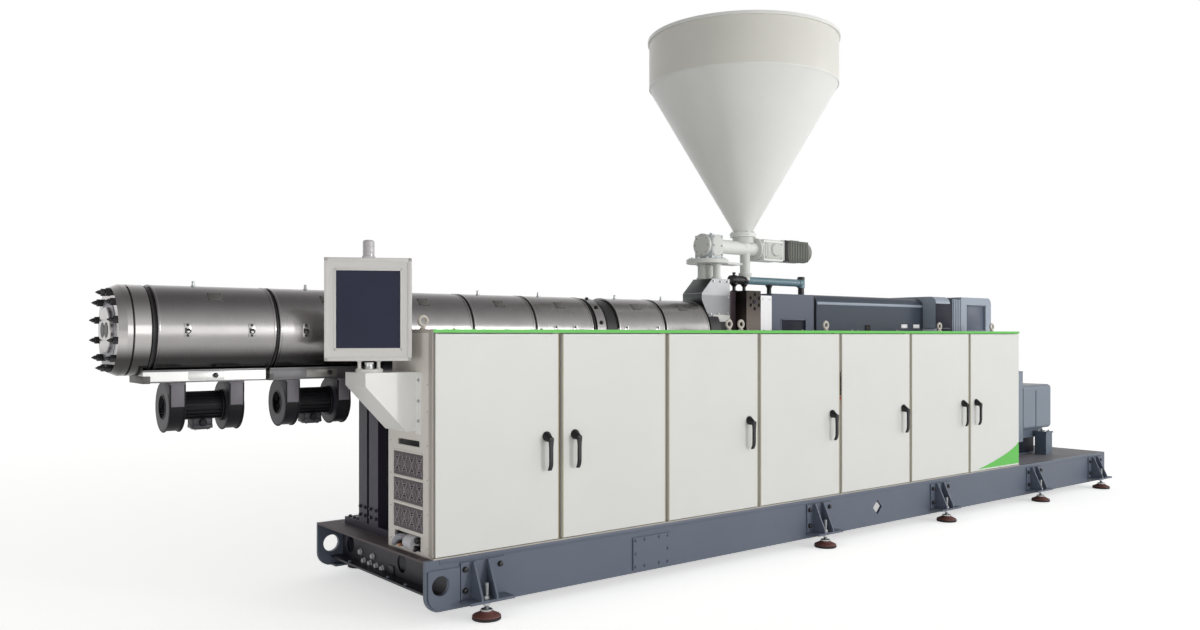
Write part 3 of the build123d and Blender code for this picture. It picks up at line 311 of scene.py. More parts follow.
def out_from(x, y, z, axis=None):
    """The move that stands a piece, drawn up from the origin, on a place, along an axis or outwards."""
    axis = Vector(axis or (0, math.copysign(1, y), 0))
    return to(x, y, z) @ Vector(UP).rotation_difference(axis).to_matrix().to_4x4()


def hexagon(across, height, washer=0):
    """A hexagon head on its washer, drawn up from the origin."""
    deselect()
    bpy.ops.mesh.primitive_cylinder_add(vertices=6, radius=across / 2000, depth=height / 1000,
                                        location=(0, 0, (height / 2 + (2 if washer else 0)) / 1000))
    head = bpy.context.object
    place_applied()
    bpy.ops.object.mode_set(mode="EDIT")
    bpy.ops.mesh.select_mode(type="FACE")
    bpy.ops.mesh.select_all(action="DESELECT")
    close()
    for face in head.data.polygons:
        face.select = face.normal.z > 0.9
    bpy.ops.object.mode_set(mode="EDIT")
    bpy.ops.mesh.inset(thickness=across * 0.08 / 1000, depth=height * 0.12 / 1000)
    close()
    if not washer:
        return head
    ring = [(0, 0), (washer / 2, 0), (washer / 2, 1.6), (washer / 2 - 0.6, 2), (0, 2)]
    return joined([head, lathe(ring, steps=24)])


def spread(piece, places, axis=None):
    """A piece that was drawn up from the origin, stood on each of many places."""
    return copies(piece, [out_from(*place, axis) for place in places])


def bolts(name, finish, size, places, axis=None):
    """Like bolts at many places, as one piece. size is their width, height and washer."""
    settle(spread(hexagon(*size), places, axis), name, finish)


slate = coat("slate blue two-pack enamel on steel", "#5C6473", 0.42)
zinc, tree = material("zinc-plated steel")
dull = node(tree, "MapRange", Value=grain(tree, 5), To_Min=0.28, To_Max=0.45)
shader = node(tree, "BsdfPrincipled", Base_Color=paint("#B9BBBC"), Metallic=1, Roughness=dull)
node(tree, "OutputMaterial", Surface=shader)
blackened = coat("black-oxide steel", "#1D1C1F", 0.38, peel=1.2, mottle=0.1)
give(slate, "base_sides", "base_cross_members", "foot_brackets")
# The end webs get a near-black slate: painted shade for the shadow that lies on them.
give(coat("slate enamel darkened as painted shade on the end webs", "#22212B", 0.45), "base_ends")

BASE_LENGTH = 7640
BASE_FACE = 690
BASE_TOP = 333
WEB_X = 165
span = (86, BASE_LENGTH - 86)
rails = [box(span, (-BASE_FACE - 2.5, -BASE_FACE), (305, BASE_TOP), 1),
         box(span, (BASE_FACE, BASE_FACE + 2.5), (305, BASE_TOP), 1)]
settle(rails, "base_rails", slate)
bolts("inspection_cover_screws", slate, (15, 5, 20),
      [(x, side * (BASE_FACE + 8), z) for side in SIDES for x in (1428, 1500, 1619, 1691)
       for z in (97, 177, 257) if z != 177 or x in (1428, 1691)])
pale_plastic = coat("pale grey moulded plastic", "#C9C9CE", 0.4)
plug = lathe([(0, 0), (19, 0), (19, 5), (15, 8), (15, 15), (12, 17), (0, 17)])
places = [(WEB_X, 409, 176), (WEB_X, 243, 178)]
settle(spread(plug, places, TO_HEAD), "web_plugs", pale_plastic)
bolts("web_glands", pale_plastic, (34, 14, 40),
      [(WEB_X, y, z) for y, z in ((363, 129), (279, 128), (197, 127), (118, 126))], TO_HEAD)
settle(box((157, WEB_X), (-30, 32), (82, 166), 3), "web_cable_cover", blackened)
bolts("web_lip_bolts", slate, (20, 8, 28), [(100, y, 120) for y in (424, -77, -291)], UP)


# The deck
# A 12 mm plate between the channels. Its matt primer is brown-grey and scuffed, and it is painted darker
# towards the head end and paler towards the drive end: painted shade.
deck, tree = material("matt primer on deck plate")
place = node(tree, "TexCoord")
along = node(tree, "SeparateXYZ", i0=place.outputs["Object"])
# Painted shade: the primer is darker towards the head end, where shadow lies on the deck.
deck_shade_mask = node(tree, "MapRange", Value=along.outputs["X"], From_Min=-3, From_Max=2)
patches = grain(tree, 180, detail=6)
shaded_primer = node(tree, "Mix", COLOURS, i0=patches, i6=paint("#443A3C"), i7=paint("#5E5456"))
lit_primer = node(tree, "Mix", COLOURS, i0=patches, i6=paint("#746F74"), i7=paint("#95959A"))
primer_with_painted_shade = node(tree, "Mix", COLOURS, i0=deck_shade_mask, i6=shaded_primer.outputs[2], i7=lit_primer.outputs[2])
scuff = node(tree, "Bump", Height=grain(tree, 8, (6, 1, 1)), Strength=0.3, Distance=0.0002)
shader = node(tree, "BsdfPrincipled", Base_Color=primer_with_painted_shade.outputs[2], Roughness=0.62, Normal=scuff)
node(tree, "OutputMaterial", Surface=shader)
give(deck, "base_deck")


# The levelling feet
# A rubber-soled pressed pad with a red-brown dome, under a zinc-plated stud that is locked in the
# bracket's shelf by two nuts. Three bolts hold each bracket to the channel.
FOOT_XS = (325, 3145, 4685, 6210, 7400)
FOOT_Y = 765
rubber, tree = material("black nitrile rubber")
fine = node(tree, "Bump", Height=grain(tree, 1.5), Strength=0.4, Distance=0.0002)
shader = node(tree, "BsdfPrincipled", Base_Color=paint("#1B1718"), Roughness=0.75, Normal=fine)
node(tree, "OutputMaterial", Surface=shader)
dome_paint = coat("red-brown enamel on a pressed pad", "#744A43", 0.45, mottle=0.14)
stand = [to(x, side * FOOT_Y, 0) for x in FOOT_XS for side in SIDES]
sole = lathe([(0, 0), (74, 0), (77.6, 3), (77.6, 13), (75, 17), (60, 17), (0, 17)], steps=44)
settle(copies(sole, stand), "foot_soles", rubber)
dome = lathe([(0, 16), (75, 16), (76.5, 18), (76, 21), (72, 24.5), (60, 30), (50, 34.5), (42, 38), (38, 41),
              (36, 45), (32, 46), (0, 46)], steps=44)
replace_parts(settle(copies(dome, stand), "foot_domes", dome_paint), "foot_pads")
thread = [(0, 46), (32, 46), (32, 53), (30, 55), (13, 55)]
for turn in range(34):
    thread += [(12, 56 + turn * 4), (10.6, 58 + turn * 4)]
thread += [(9, 192), (0, 192)]
parts = [copies(lathe(thread, steps=20), stand)]
for low, tall in ((74, 18), (106, 16)):
    parts.append(copies(hexagon(40, tall), [move @ Matrix.Translation((0, 0, low / 1000)) for move in stand]))
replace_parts(settle(parts, "foot_studs_threaded", zinc), "foot_studs")
bolts("bracket_bolts", blackened, (27, 11, 34),
      [(x + dx, side * (BASE_FACE + 10), z) for x in FOOT_XS for side in SIDES
       for dx, z in ((-92, 262), (-92, 150), (128, 262))])


# The portal
# A cross block, three columns and a saddle of heavy plate, sprayed plum black, that carry the
# barrel's free end. Bolts tie the columns to the block and the yoke.
plum = coat("plum black enamel on steel", "#363340", 0.42, mottle=0.08, shine=0.3)
give(plum, "barrel_portal")
bolts("portal_bolts", plum, (20, 8, 26),
      [(128, y, z) for low, high in ((-227, -117), (105, 223), (250, 360)) for y in (low + 24, high - 24)
       for z in (420, 470, 1130, 1215)], TO_HEAD)
bolts("portal_foot_bolts", plum, (20, 9, 26),
      [(x, y, 376) for x in (150, 398) for y in (420, 470, 530)]
      + [(375, y, 376) for y in (-190, -60, 60, 190)], UP)


# The drive row
# Closed housings on a ribbed plinth: a browned ring plate, a white coupling guard, and the gearbox,
# the motor's long cover and the rear boxes, which are enamelled in shades of blue-grey.
DRIVE_FACE = 210
GEARBOX_WINDOW = ((3322, 3606), (1330, 1615))
REAR_WINDOW = ((5932, 6237), (1548, 1770))
drive_blue = coat("blue-grey enamel on cast iron", "#545C6D", 0.36, peel=3, depth=0.06, mottle=0.07,
                  shine=0.3)
pale_blue = coat("pale blue-grey enamel on sheet steel", "#9EA9B7", 0.34, shine=0.3)
night_blue = coat("dark blue-grey enamel on steel", "#282B36", 0.45, shine=0.08)
guard_white = coat("white powder coat on a guard", "#F9F9FB", 0.42, mottle=0.02)
give(slate, "drive_pedestal")
give(coat("brown-black enamel on steel", "#564B50", 0.45, shine=0.3), "coupling_block")
give(guard_white, "coupling_guard")
give(drive_blue, "gearbox_housing")
give(coat("dark blue-grey enamel on a sheet cover", "#444C58", 0.34, shine=0.15), "motor_cover")
give(pale_blue, "rear_drive_blocks")


def pair(x, face, deep, z, edge=1):
    """Two like blocks let into the faces of both sides, each deep millimetres in and out."""
    return [box(x, (side * face - deep, side * face + deep), z, edge) for side in SIDES]


def circle(count, start=0):
    """Angles in radians, spread evenly round a circle from a start in degrees."""
    return [math.radians(start + 360 * step / count) for step in range(count)]


def surround(x, y, z, across, tall, edge, make=box):
    """Four bars round a rectangle, drawn inside its limits."""
    return [make(x, y, (z[1] - tall, z[1]), edge), make(x, y, (z[0], z[0] + tall), edge),
            make((x[0], x[0] + across), y, z, edge), make((x[1] - across, x[1]), y, z, edge)]


settle(pair((3324, 3604), 198, 2, (1332, 1613)), "gearbox_window_panels", night_blue)
settle(pair((5934, 6235), 198, 2, (1550, 1768)), "rear_window_panels", drive_blue)
lip = []
for (x0, x1), (z0, z1) in (GEARBOX_WINDOW, REAR_WINDOW):
    for side in SIDES:
        lip += surround((x0 - 10, x1 + 10), (side * DRIVE_FACE - 3, side * DRIVE_FACE + 3),
                        (z0 - 10, z1 + 10), 10, 10, 2)
settle(lip, "window_frames", drive_blue)
dark = pair((5426, 5674), 211, 2, (1200, 1836)) + pair((5205, 5427), 340, 2, (1562, 1776))
settle(dark, "dark_side_covers", night_blue)
ribs = []
for x in range(5690, 5840, 30):
    ribs += pair((x, x + 16), DRIVE_FACE + 2, 6, (1200, 1822), 3)
settle(ribs, "rear_cooling_ribs", pale_blue)
settle(pair((3704.5, 3738.5), 191, 3, (1200, 1799)), "gearbox_joint_seal", rubber)
bolts("housing_bolts", drive_blue, (20, 8, 26),
      [(x, side * DRIVE_FACE, z) for side in SIDES
       for x, z in ((3240, 1240), (3670, 1240), (3240, 1500), (3670, 1500), (5455, 1230), (5645, 1230),
                    (5865, 1500), (6290, 1500))])
bolts("motor_cover_screws", drive_blue, (16, 6, 22),
      [(x, side * DRIVE_FACE, 1230) for side in SIDES for x in range(3820, 5200, 225)])
bolts("guard_screws", guard_white, (12, 5, 16),
      [(x, side * DRIVE_FACE, z) for side in SIDES for x in (3111, 3187) for z in (1240, 1770)])
RING_X, RING_Z = 3020, 1749
ring = lathe([(6, 0), (17, 0), (17, 4), (13, 7), (9, 7), (6, 4), (6, 0)], steps=32)
places = [(RING_X, side * DRIVE_FACE, RING_Z) for side in SIDES]
settle(spread(ring, places), "ring_plate_centre", plum)
plug = lathe([(0, -14), (13.4, -14), (13.4, -6), (9, -5), (9, -8), (0, -8)], steps=24)
places = [(RING_X + 52 * math.sin(turn), side * DRIVE_FACE, RING_Z + 52 * math.cos(turn))
          for side in SIDES for turn in circle(6)]
settle(spread(plug, places), "ring_plate_plugs", rubber)
vent = box((4368, 4432), (-DRIVE_FACE - 6, -DRIVE_FACE + 2), (1532, 1584), 8)
settle(vent, "cover_vent", rubber)
# A pale strip along the cover's shoulder, where the cover would catch the light: a painted highlight.
settle(pair((3748, 5200), DRIVE_FACE, 3, (1742, 1764), 2.5), "cover_painted_highlight_strip", pale_blue)
tags = [box((x, x + 90), (-DRIVE_FACE - 3, -DRIVE_FACE + 1), (1560, 1592), 1) for x in (4880, 5060)]
settle(tags, "cover_blank_tags", guard_white)


# The lifting beam
# A painted tube with a round end post. Black clamps on slim turned posts grip it over the ring
# plate, the guard and the gearbox.
BEAM_Z = 1920
post = at(3805, 0, 1800)
teal = coat("grey-green enamel on a steel tube", "#6F8B95", 0.26)


def level(profile, x, z, steps=40, y=0):
    """An outline spun about a level axis along the machine, from a place on it."""
    return lathe(profile, at(x, y, z), ALONG, steps)


tube = [level([(0, 0), (29, 0), (30, 1), (30, 817), (0, 817)], 2988, BEAM_Z),
        lathe([(0, 82), (31, 82), (31, 142), (28, 148), (0, 148)], post),
        level([(30, -8), (34, -6), (34, 6), (30, 8)], 3770, BEAM_Z)]
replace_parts(settle(tube, "beam_tube", teal), "lifting_beam")
clamps = [level([(30.2, 0), (33, 0), (34, 2), (34, 148), (33, 150), (30.2, 150)], 2986, BEAM_Z, 32),
          lathe([(0, 0), (36, 0), (36, 8), (25, 14), (25, 84), (0, 84)], post),
          lathe([(0, 140), (27, 140), (30, 150), (30, 166), (26, 171), (0, 171)], post)]
for x in (3021, 3132):
    clamps.append(level([(30.2, -18), (36, -18), (38, -15), (38, 15), (36, 18), (30.2, 18)], x, BEAM_Z, 32))
    knob = [(0, 0), (9, 0), (9, 10), (13, 12), (13, 22), (10, 25), (0, 25)]
    clamps.append(lathe(knob, at(x, 0, BEAM_Z + 33), steps=24))
for x, foot, stem in ((3021, 1830, 13), (3132, 1797, 13), (3418, 1815, 18)):
    top = BEAM_Z - foot
    clamps.append(lathe([(0, 0), (26, 0), (26, 8), (stem, 12), (stem, top - 52), (29, top - 32),
                         (29, top - 22), (0, top - 22)], at(x, 0, foot), steps=28))
settle(clamps, "beam_clamps", blackened)
cap = level([(0, -6), (31, -6), (34, -3), (34, 3), (31, 6), (0, 6)], 2985, BEAM_Z, 32)
settle(cap, "beam_end_cap", blackened)


# The barrel
# A black nitrided barrel in brushed stainless jackets, each a rolled sheet with folded edges, a
# lifting pin and a bare plate near its crown. Toggle latches close them on the near side.
BARREL_Z = 1524
JACKET_R = 224
JACKETS = ((-1169, -598), (-577, -12), (4, 570), (586, 1021), (1037, 1479), (1698, 2100), (2122, 2534))
# The jackets and the head's rings are painted darker from 1465 mm down, full at 1380 mm: a painted dark
# reflection on the barrel's lower half.
PAINTED_REFLECTION_HEIGHTS = (1380, 1465, 0.12)


def metal(name, code, low, high, size, stretch, depth, smudge=0.14, film=None):
    """Bare metal: fine brush marks one way, and smudges that dull the shine. Its colour can darken by height,
    given as the heights in mm where the darkening is full and where it ends, and how dark it is; on the
    barrel and the throat this is a painted reflection."""
    made, tree = material(name)
    colour = node(tree, "Mix", COLOURS, i0=grain(tree, 150, (1, 0.6, 0.6), 5),
                  i6=paint(code, 1 - 1.6 * smudge), i7=paint(code))
    if film:
        place = node(tree, "TexCoord")
        height = node(tree, "SeparateXYZ", i0=place.outputs["Object"])
        undarkened = node(tree, "MapRange", {"interpolation_type": "SMOOTHSTEP"}, Value=height.outputs["Z"],
                     From_Min=film[0] / 1000, From_Max=film[1] / 1000)
        colour = node(tree, "Mix", COLOURS, i0=undarkened, i6=paint(code, film[2]), i7=colour.outputs[2])
    marks = grain(tree, size, stretch, 2)
    blend = node(tree, "Mix", {"data_type": "FLOAT"}, i0=0.5, i2=marks, i3=grain(tree, 120, detail=4))
    gloss = node(tree, "MapRange", Value=blend, From_Min=0.3, From_Max=0.7, To_Min=low, To_Max=high)
    scratch = node(tree, "Bump", Height=marks, Strength=0.25, Distance=depth / 1000)
    shader = node(tree, "BsdfPrincipled", Base_Color=colour.outputs[2], Metallic=1, Roughness=gloss,
                  Normal=scratch)
    node(tree, "OutputMaterial", Surface=shader)
    return made


def turned(degrees, axis):
    """A turn about an axis through the origin."""
    return Matrix.Rotation(math.radians(degrees), 4, axis)


def wire(radius, height, thick, tall, count):
    """The closed oval outline of a bent wire, for the lathe."""
    return [(radius + thick * math.cos(turn), height + tall * math.sin(turn)) for turn in circle(count) + [0]]


def round_barrel(x, angle, out=0):
    """The move to a place on the jackets, at an angle down from the crown towards the near side."""
    return to(x, 0, BARREL_Z) @ turned(angle, ALONG) @ Matrix.Translation((0, 0, (JACKET_R + out) / 1000))


def drawn(x, y, z, edge=1):
    """A rounded block in millimetres about the origin, for copying to its places."""
    made = box(x, y, z, edge)
    made.data.transform(Matrix.Translation(-at(0, 0, 0)))
    return made


jacket_steel = metal("brushed stainless sheet", "#A29F9F", 0.18, 0.3, 1.2, (1, 60, 60), 0.012, film=PAINTED_REFLECTION_HEIGHTS)
polished = metal("ground and polished tool steel", "#B9B6B5", 0.12, 0.22, 0.8, (1, 80, 80), 0.008, 0.08, PAINTED_REFLECTION_HEIGHTS)
nitrided = coat("nitrided black steel", "#232225", 0.4, peel=1.5, mottle=0.12)
dull_steel = metal("dull rolled steel", "#8E8C88", 0.4, 0.55, 2, (1, 20, 1), 0.03)
give(jacket_steel, "barrel_jackets")
give(nitrided, "barrel_core", "head_studs")
give(polished, "head_flange")
hems = []
for x0, x1 in JACKETS:
    for x, way in ((x0, 1), (x1, -1)):
        hem = [(222, 0), (225.2, 0), (226, way * 1.5), (226, way * 9), (225.2, way * 10.5), (222, way * 10.5)]
        hems.append(level(hem, x, BARREL_Z, 96))
settle(hems, "jacket_hems", jacket_steel)
seams = [box((x0 + 12, x1 - 12), (216, 226), (1500, 1506), 1) for x0, x1 in JACKETS]
settle(seams, "jacket_lap_seams", jacket_steel)
latched = [round_barrel(x, 90) for x in (-1035, -724, -442, 1180, 1330, 1760, 2040)]
plate = drawn((-17, 17), (-34, 34), (-1.5, 1))
settle(copies(plate, latched), "jacket_latch_plates", jacket_steel)
rivet = [(0, 0), (6.5, 0), (6.5, 3), (4.5, 6), (0, 6.5)]
latch = [lathe(rivet, Vector((0, y, 0)), steps=16) for y in (-0.026, 0.026)]
hook = lathe(wire(11, 4, 2.8, 2.8, 6), Vector((0.003, -0.004, 0)), steps=24)
hook.data.transform(turned(16, "X"))
latch += [hook, drawn((-5, 12), (-4, 4), (1, 10), 2), drawn((-13, -6), (-16, 12), (1, 8), 2)]
settle(copies(joined(latch), latched), "jacket_latches", nitrided)
crown_xs = [(x0 + x1) / 2 for x0, x1 in JACKETS]
pin = lathe([(0, -2), (13, -2), (13, 3), (8, 5), (8, 24), (6.5, 26), (0, 26)], steps=20)
settle(copies(pin, [round_barrel(x - 60, 0) for x in crown_xs]), "jacket_lifting_pins", zinc)
plate = drawn((-34, 34), (-27, 27), (0, 3))
settle(copies(plate, [round_barrel(x, 42, -1) for x in crown_xs]), "jacket_blank_plates", dull_steel)
moves = [round_barrel(x + dx, 42 + da, 1.6) for x in crown_xs for dx in (-29, 29) for da in (-5.6, 5.6)]
settle(copies(hexagon(7, 2), moves), "blank_plate_screws", nitrided)
bands = [level([(208, 0), (217, 0), (219, 2), (219, 11), (217, 13), (208, 13)], -1192, BARREL_Z, 96),
         level([(209, 0), (214, 0), (214, 80), (209, 80)], 1605, BARREL_Z, 96)]
bands += [level([(209, -5), (219, -4), (219, 4), (209, 5)], x, BARREL_Z, 96)
          for x in (-587.5, -4, 578, 1029, 1497, 2111, 2560)]
settle(bands, "barrel_heater_bands", nitrided)
moves = [round_barrel(1551, math.degrees(turn), -2.5) for turn in circle(12, 15)]
settle(copies(hexagon(20, 9, 28), moves), "coupling_bolts", nitrided)


# The head
# Polished rings with a dark groove and a pale ground face. Each of the twelve black studs has a
# rolled thread up to its pointed end and a tall nut that is locked against the face.
HEAD_X = -1340
STUD_CIRCLE_R = 190
stud = [(0, -46), (2, -46), (11, -30)]
for turn in range(5):
    stud += [(11, -28 + turn * 2.4), (9.8, -26.8 + turn * 2.4)]
stud += [(11, -15), (11, -1), (0, -1)]
nut = hexagon(40, 20)
nut.data.transform(turned(-90, "Y"))
moves = [to(HEAD_X, STUD_CIRCLE_R * math.sin(turn), BARREL_Z + STUD_CIRCLE_R * math.cos(turn))
         for turn in circle(12, 15)]
studs = copies(joined([lathe(stud, axis=ALONG, steps=20), nut]), moves)
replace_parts(settle(studs, "head_studs_threaded", nitrided), "head_studs")
ground = metal("fine-ground pale steel", "#8C8B91", 0.3, 0.45, 1, (1, 1, 1), 0.02, 0.05)
ring = level([(110, -3), (150, -3), (152, -1), (152, 0), (110, 0)], HEAD_X, BARREL_Z, 64)
settle(ring, "head_seal_face", ground)
bore = [level([(0, -18.5), (36, -18.5), (38, -17.2), (0, -17.2)], HEAD_X, BARREL_Z, y=y) for y in (-38, 38)]
settle(bore, "head_bore_caps", nitrided)
groove = level([(212.3, 0), (213, 0.5), (213, 7.5), (212.3, 8)], -1278.5, BARREL_Z, 96)
settle(groove, "head_groove_seal", rubber)


# The trays
# Bright folded aluminium under the jackets, with a rail along each edge, an inner plate with a
# turn knob, and a dark cast block at the end towards the head.
TRAYS = ((-1213, -616), (-594, -30), (600, 1010), (1048, 1470), (1710, 2090))
TRAY_FACE = 120
tray_metal = metal("bright folded aluminium", "#C2C2C0", 0.34, 0.5, 1.5, (30, 1, 1), 0.03, 0.1)
# A darker copy of the tray aluminium for the rails and for the sides of the trays after the first: painted
# shade.
shaded_metal = metal("folded aluminium darkened as painted shade", "#6C6B6D", 0.34, 0.5, 1.5, (30, 1, 1), 0.03, 0.1)
give(tray_metal, "air_trays")
trim, skins, plates, places = [], [], [], []
for span in TRAYS:
    trim += pair(span, TRAY_FACE, 3, (1266, 1273)) + pair(span, TRAY_FACE, 3, (1320, 1330))
for x0, x1 in TRAYS[1:]:
    skins += pair((x0 + 1, x1 - 1), TRAY_FACE, 1.5, (1272, 1323), 0.6)
for x0, x1 in TRAYS:
    middle = (x0 + x1) / 2
    plates += pair((middle - 86, middle + 86), TRAY_FACE, 3, (1276, 1318), 1.5)
    places += [(middle + 44, side * (TRAY_FACE + 3), 1298) for side in SIDES]
settle(trim, "tray_rails", shaded_metal)
settle(skins, "tray_shaded_sides", shaded_metal)
settle(plates[:2], "first_tray_plates", tray_metal)
# The inner plates of the trays after the first are a darker steel: painted shade.
settle(plates[2:], "tray_plates", dull_steel)
knob = lathe([(0, 0), (13, 0), (13, 3), (9, 5), (11, 12), (9, 15), (0, 15)], steps=24)
settle(spread(knob, places), "tray_knobs", blackened)
cast = coat("dark cast aluminium", "#5A5757", 0.5, mottle=0.15)
ends = [box((x0 - 3, x0 + 34), (-124, 124), (1263, 1300), 3) for x0, x1 in TRAYS[:1]]
ends += [box((x0 - 2, x0 + 20), (-123, 123), (1264, 1298)) for x0, x1 in TRAYS[1:]]
settle(ends, "tray_end_blocks", cast)


# The blowers
# Twin radial fans in pressed black scrolls on one finned motor. The duct's faces are a lighter
# grey, a wire grille closes each inlet, and the terminal box hangs under the motor.
BLOWERS = (-910, -329, 805, 1259, 1900)
BLOWER_Z = 1140
OUT = (0, -1, 0)
satin_black = coat("satin black powder coat", "#131216", 0.42, mottle=0.1, shine=0.15)
duct_grey = coat("grey powder coat on the duct", "#6B686F", 0.45)
side_grey = coat("grey powder coat on the side plates", "#302E35", 0.45)
give(satin_black, "blower_scrolls", "blower_motors")
lips, grilles, faces, fins, boxes, hubs, discs = [], [], [], [], [], [], []
for centre in BLOWERS:
    for side in SIDES:
        middle = centre + side * 143.5
        outer = middle + side * 38
        lips += [level([(119, -3), (126, -3), (127.5, -1.5), (127.5, 1.5), (126, 3), (119, 3)],
                       middle + edge, BLOWER_Z, 56) for edge in (-36, 36)]
        mouth = [(56, -2), (64, -2), (66, 1), (63, 4), (57, 4), (56, 1)]
        lips.append(level([(radius, side * height) for radius, height in mouth], outer, BLOWER_Z, 48))
        grilles += [level(wire(radius, 0, -1.3, 1.3, 4), outer, BLOWER_Z, 36) for radius in (18, 32, 46)]
        hubs.append(level([(0, -6), (14, -6), (20, 0), (20, 8), (0, 8)], outer - side * 20, BLOWER_Z, 24))
        faces.append(box((middle - 31, middle + 31), (-127, -122), (BLOWER_Z + 6, 1262)))
        faces.append(box((middle - 38, middle + 38), (-128, 24), (1256, 1265)))
        for way, hole in ((side, 60), (-side, 70)):
            x = middle + way * 38
            discs.append(level([(hole, 0), (118, 0), (118, way * 1.8), (hole, way * 1.8)], x, BLOWER_Z, 48))
            discs.append(box(sorted((x, x + way * 1.2)), (-124, 19), (BLOWER_Z + 70, 1262), 0.5))
    turns = [to(centre, 0, BLOWER_Z) @ turned(18 * step, "X") for step in range(20) if not 8 < step < 12]
    fins.append(copies(drawn((-92, 92), (-2.5, 2.5), (66, 75), 1.2), turns))
    fins += [level([(66, -6), (79, -6), (80, -4), (80, 4), (79, 6), (66, 6)], centre + way * 96, BLOWER_Z)
             for way in SIDES]
    boxes += [box((centre - 50, centre + 50), (-46, 46), (1027, 1046), 4),
              box((centre - 46, centre + 46), (-43, 43), (1044, 1078), 4),
              box((centre - 40, centre + 40), (-36, 36), (1021, 1028), 3)]
    hubs.append(lathe([(0, 0), (19, 0), (20, 3), (20, 7), (15, 10), (15, 18), (0, 18)], at(centre, -44, 1058),
                      OUT, 24))
settle(lips, "blower_scroll_lips", satin_black)
settle(grilles, "blower_inlet_grilles", satin_black)
settle(hubs, "blower_hubs_and_glands", satin_black)
settle(discs, "blower_side_plates", side_grey)
settle(faces, "blower_duct_faces", duct_grey)
settle(fins, "blower_motor_ribs", satin_black)
settle(boxes, "blower_terminal_boxes", side_grey)
bolts("terminal_box_screws", zinc, (9, 4),
      [(centre + dx, dy, 1021) for centre in BLOWERS for dx in (-30, 30) for dy in (-26, 26)], (0, 0, -1))


# The throat
# A welded stainless housing, dull from the blasting of its sides, with a bolted flange on its top
# and a pale angle under its foot.
# The housing is painted darker below 1785 mm: a painted reflection.
throat = metal("glass-blasted stainless plate", "#9C9D9F", 0.42, 0.55, 2.5, (1, 1, 1), 0.04, 0.1,
               (1785, 1800, 0.6))
dark_steel = metal("dark rolled stainless plate", "#5E6362", 0.3, 0.42, 2.5, (1, 1, 20), 0.04, 0.2)
# The ring plate's steel is darker towards its top.
browned = metal("browned steel plate", "#5C5550", 0.34, 0.46, 2, (1, 1, 30), 0.03, 0.12, (1800, 1560, 0.3))
cream = coat("cream powder coat on sheet steel", "#DDDDD9", 0.42, mottle=0.02)
give(throat, "infeed_housing")
give(browned, "ring_plate")
settle(box((2578, 2581), (-99, 99), (1756, 1803), 1), "throat_nose_plate", dark_steel)
SLOPE_X = (2580, 2689)
SLOPE_Z = (1805, 1915)
slope = math.degrees(math.atan2(SLOPE_Z[1] - SLOPE_Z[0], SLOPE_X[1] - SLOPE_X[0]))
cover = drawn((-71, 71), (-97, 97), (-1, 2))
cover.data.transform(to(sum(SLOPE_X) / 2, 0, sum(SLOPE_Z) / 2) @ turned(-slope, "Y"))
settle(cover, "throat_slope_cover", dark_steel)
bolts("throat_bolts", zinc, (14, 6, 18),
      [(x, -100, z) for x, z in ((2700, 1895), (2770, 1895), (2845, 1895), (2845, 1780), (2845, 1660),
                                 (2750, 1655), (2670, 1655))])
foot_rail = [box((2692, 2866), (-116, -99), (1598, 1620)), box((2692, 2866), (-105, -99), (1612, 1650), 1.5)]
settle(foot_rail, "throat_foot_rail", cream)


# The platform and the metering screw
# A thick turned plate on stubby legs carries the chute, whose round cover and front lid are
# bolted. The screw's tube runs under the hopper to a gearbox and a finned motor.
METER_Z = 2165
PLATFORM_X = 2735
HOPPER_X = 3120
GEAR_X = 3405
LEGS = ((2770, -62), (2735, 62), (2802, 50))
feed_white = coat("warm white enamel on steel", "#DCDED9", 0.42, mottle=0.04, shine=0.25)
gear_white = coat("grey-white enamel on cast iron", "#D0D3CC", 0.42, mottle=0.04, shine=0.25)
motor_grey = coat("grey enamel on cast aluminium", "#84867F", 0.42, mottle=0.08)
give(feed_white, "feed_platform", "hopper_post")
give(coat("white enamel on a steel tube", "#EEF0EB", 0.4, mottle=0.03, shine=0.25), "metering_tube")
give(coat("cool white enamel on steel", "#D2D7DA", 0.42, mottle=0.03, shine=0.25), "drop_box")
give(motor_grey, "metering_motor")
ring = [(140, 0), (153, 0), (156, 3), (156, 26), (150, 34), (140, 34)]
rim = [lathe(ring, at(PLATFORM_X, 0, 2028), steps=64)]
rim += [lathe([(0, 0), (34, 0), (36, 3), (36, 12), (34, 15), (0, 15)], at(x, y, z), steps=32)
        for x, y in LEGS for z in (1915, 2015)]
settle(rim, "platform_rim_and_feet", feed_white)
bolts("platform_bolts", zinc, (17, 8, 22),
      [(PLATFORM_X + 128 * math.cos(turn), 128 * math.sin(turn), 2062) for turn in circle(12, 15)], UP)
covers = [box((2702, 2803), (-94, -87), (2085, 2234), 3),
          level([(53, 0), (72, 0), (74, 2), (74, 12), (72, 14), (53, 14)], 2810, METER_Z, 48),
          level([(0, -22), (80, -22), (86, -18), (86, 2), (84, 4), (0, 4)], 2693, METER_Z, 56),
          lathe([(60, -40), (78, -40), (80, -38), (80, 6), (98, 8), (98, 10), (60, 10)],
                at(HOPPER_X, 0, 2240), steps=48)]
flange = [(52, 0), (84, 0), (86, 2), (86, 14), (84, 16), (52, 16)]
covers += [level(flange, x, METER_Z, 48) for x in (3240, 3259)]
settle(covers, "chute_and_tube_covers", feed_white)
moves = [out_from(x, -94, z) for x in (2712, 2793) for z in (2096, 2160, 2224)]
moves += [out_from(x, 70 * math.sin(turn), METER_Z + 70 * math.cos(turn), TO_HEAD) for x in (2671, 3275)
          for turn in circle(8)]
settle(copies(hexagon(12, 6, 15), moves), "chute_and_tube_bolts", zinc)
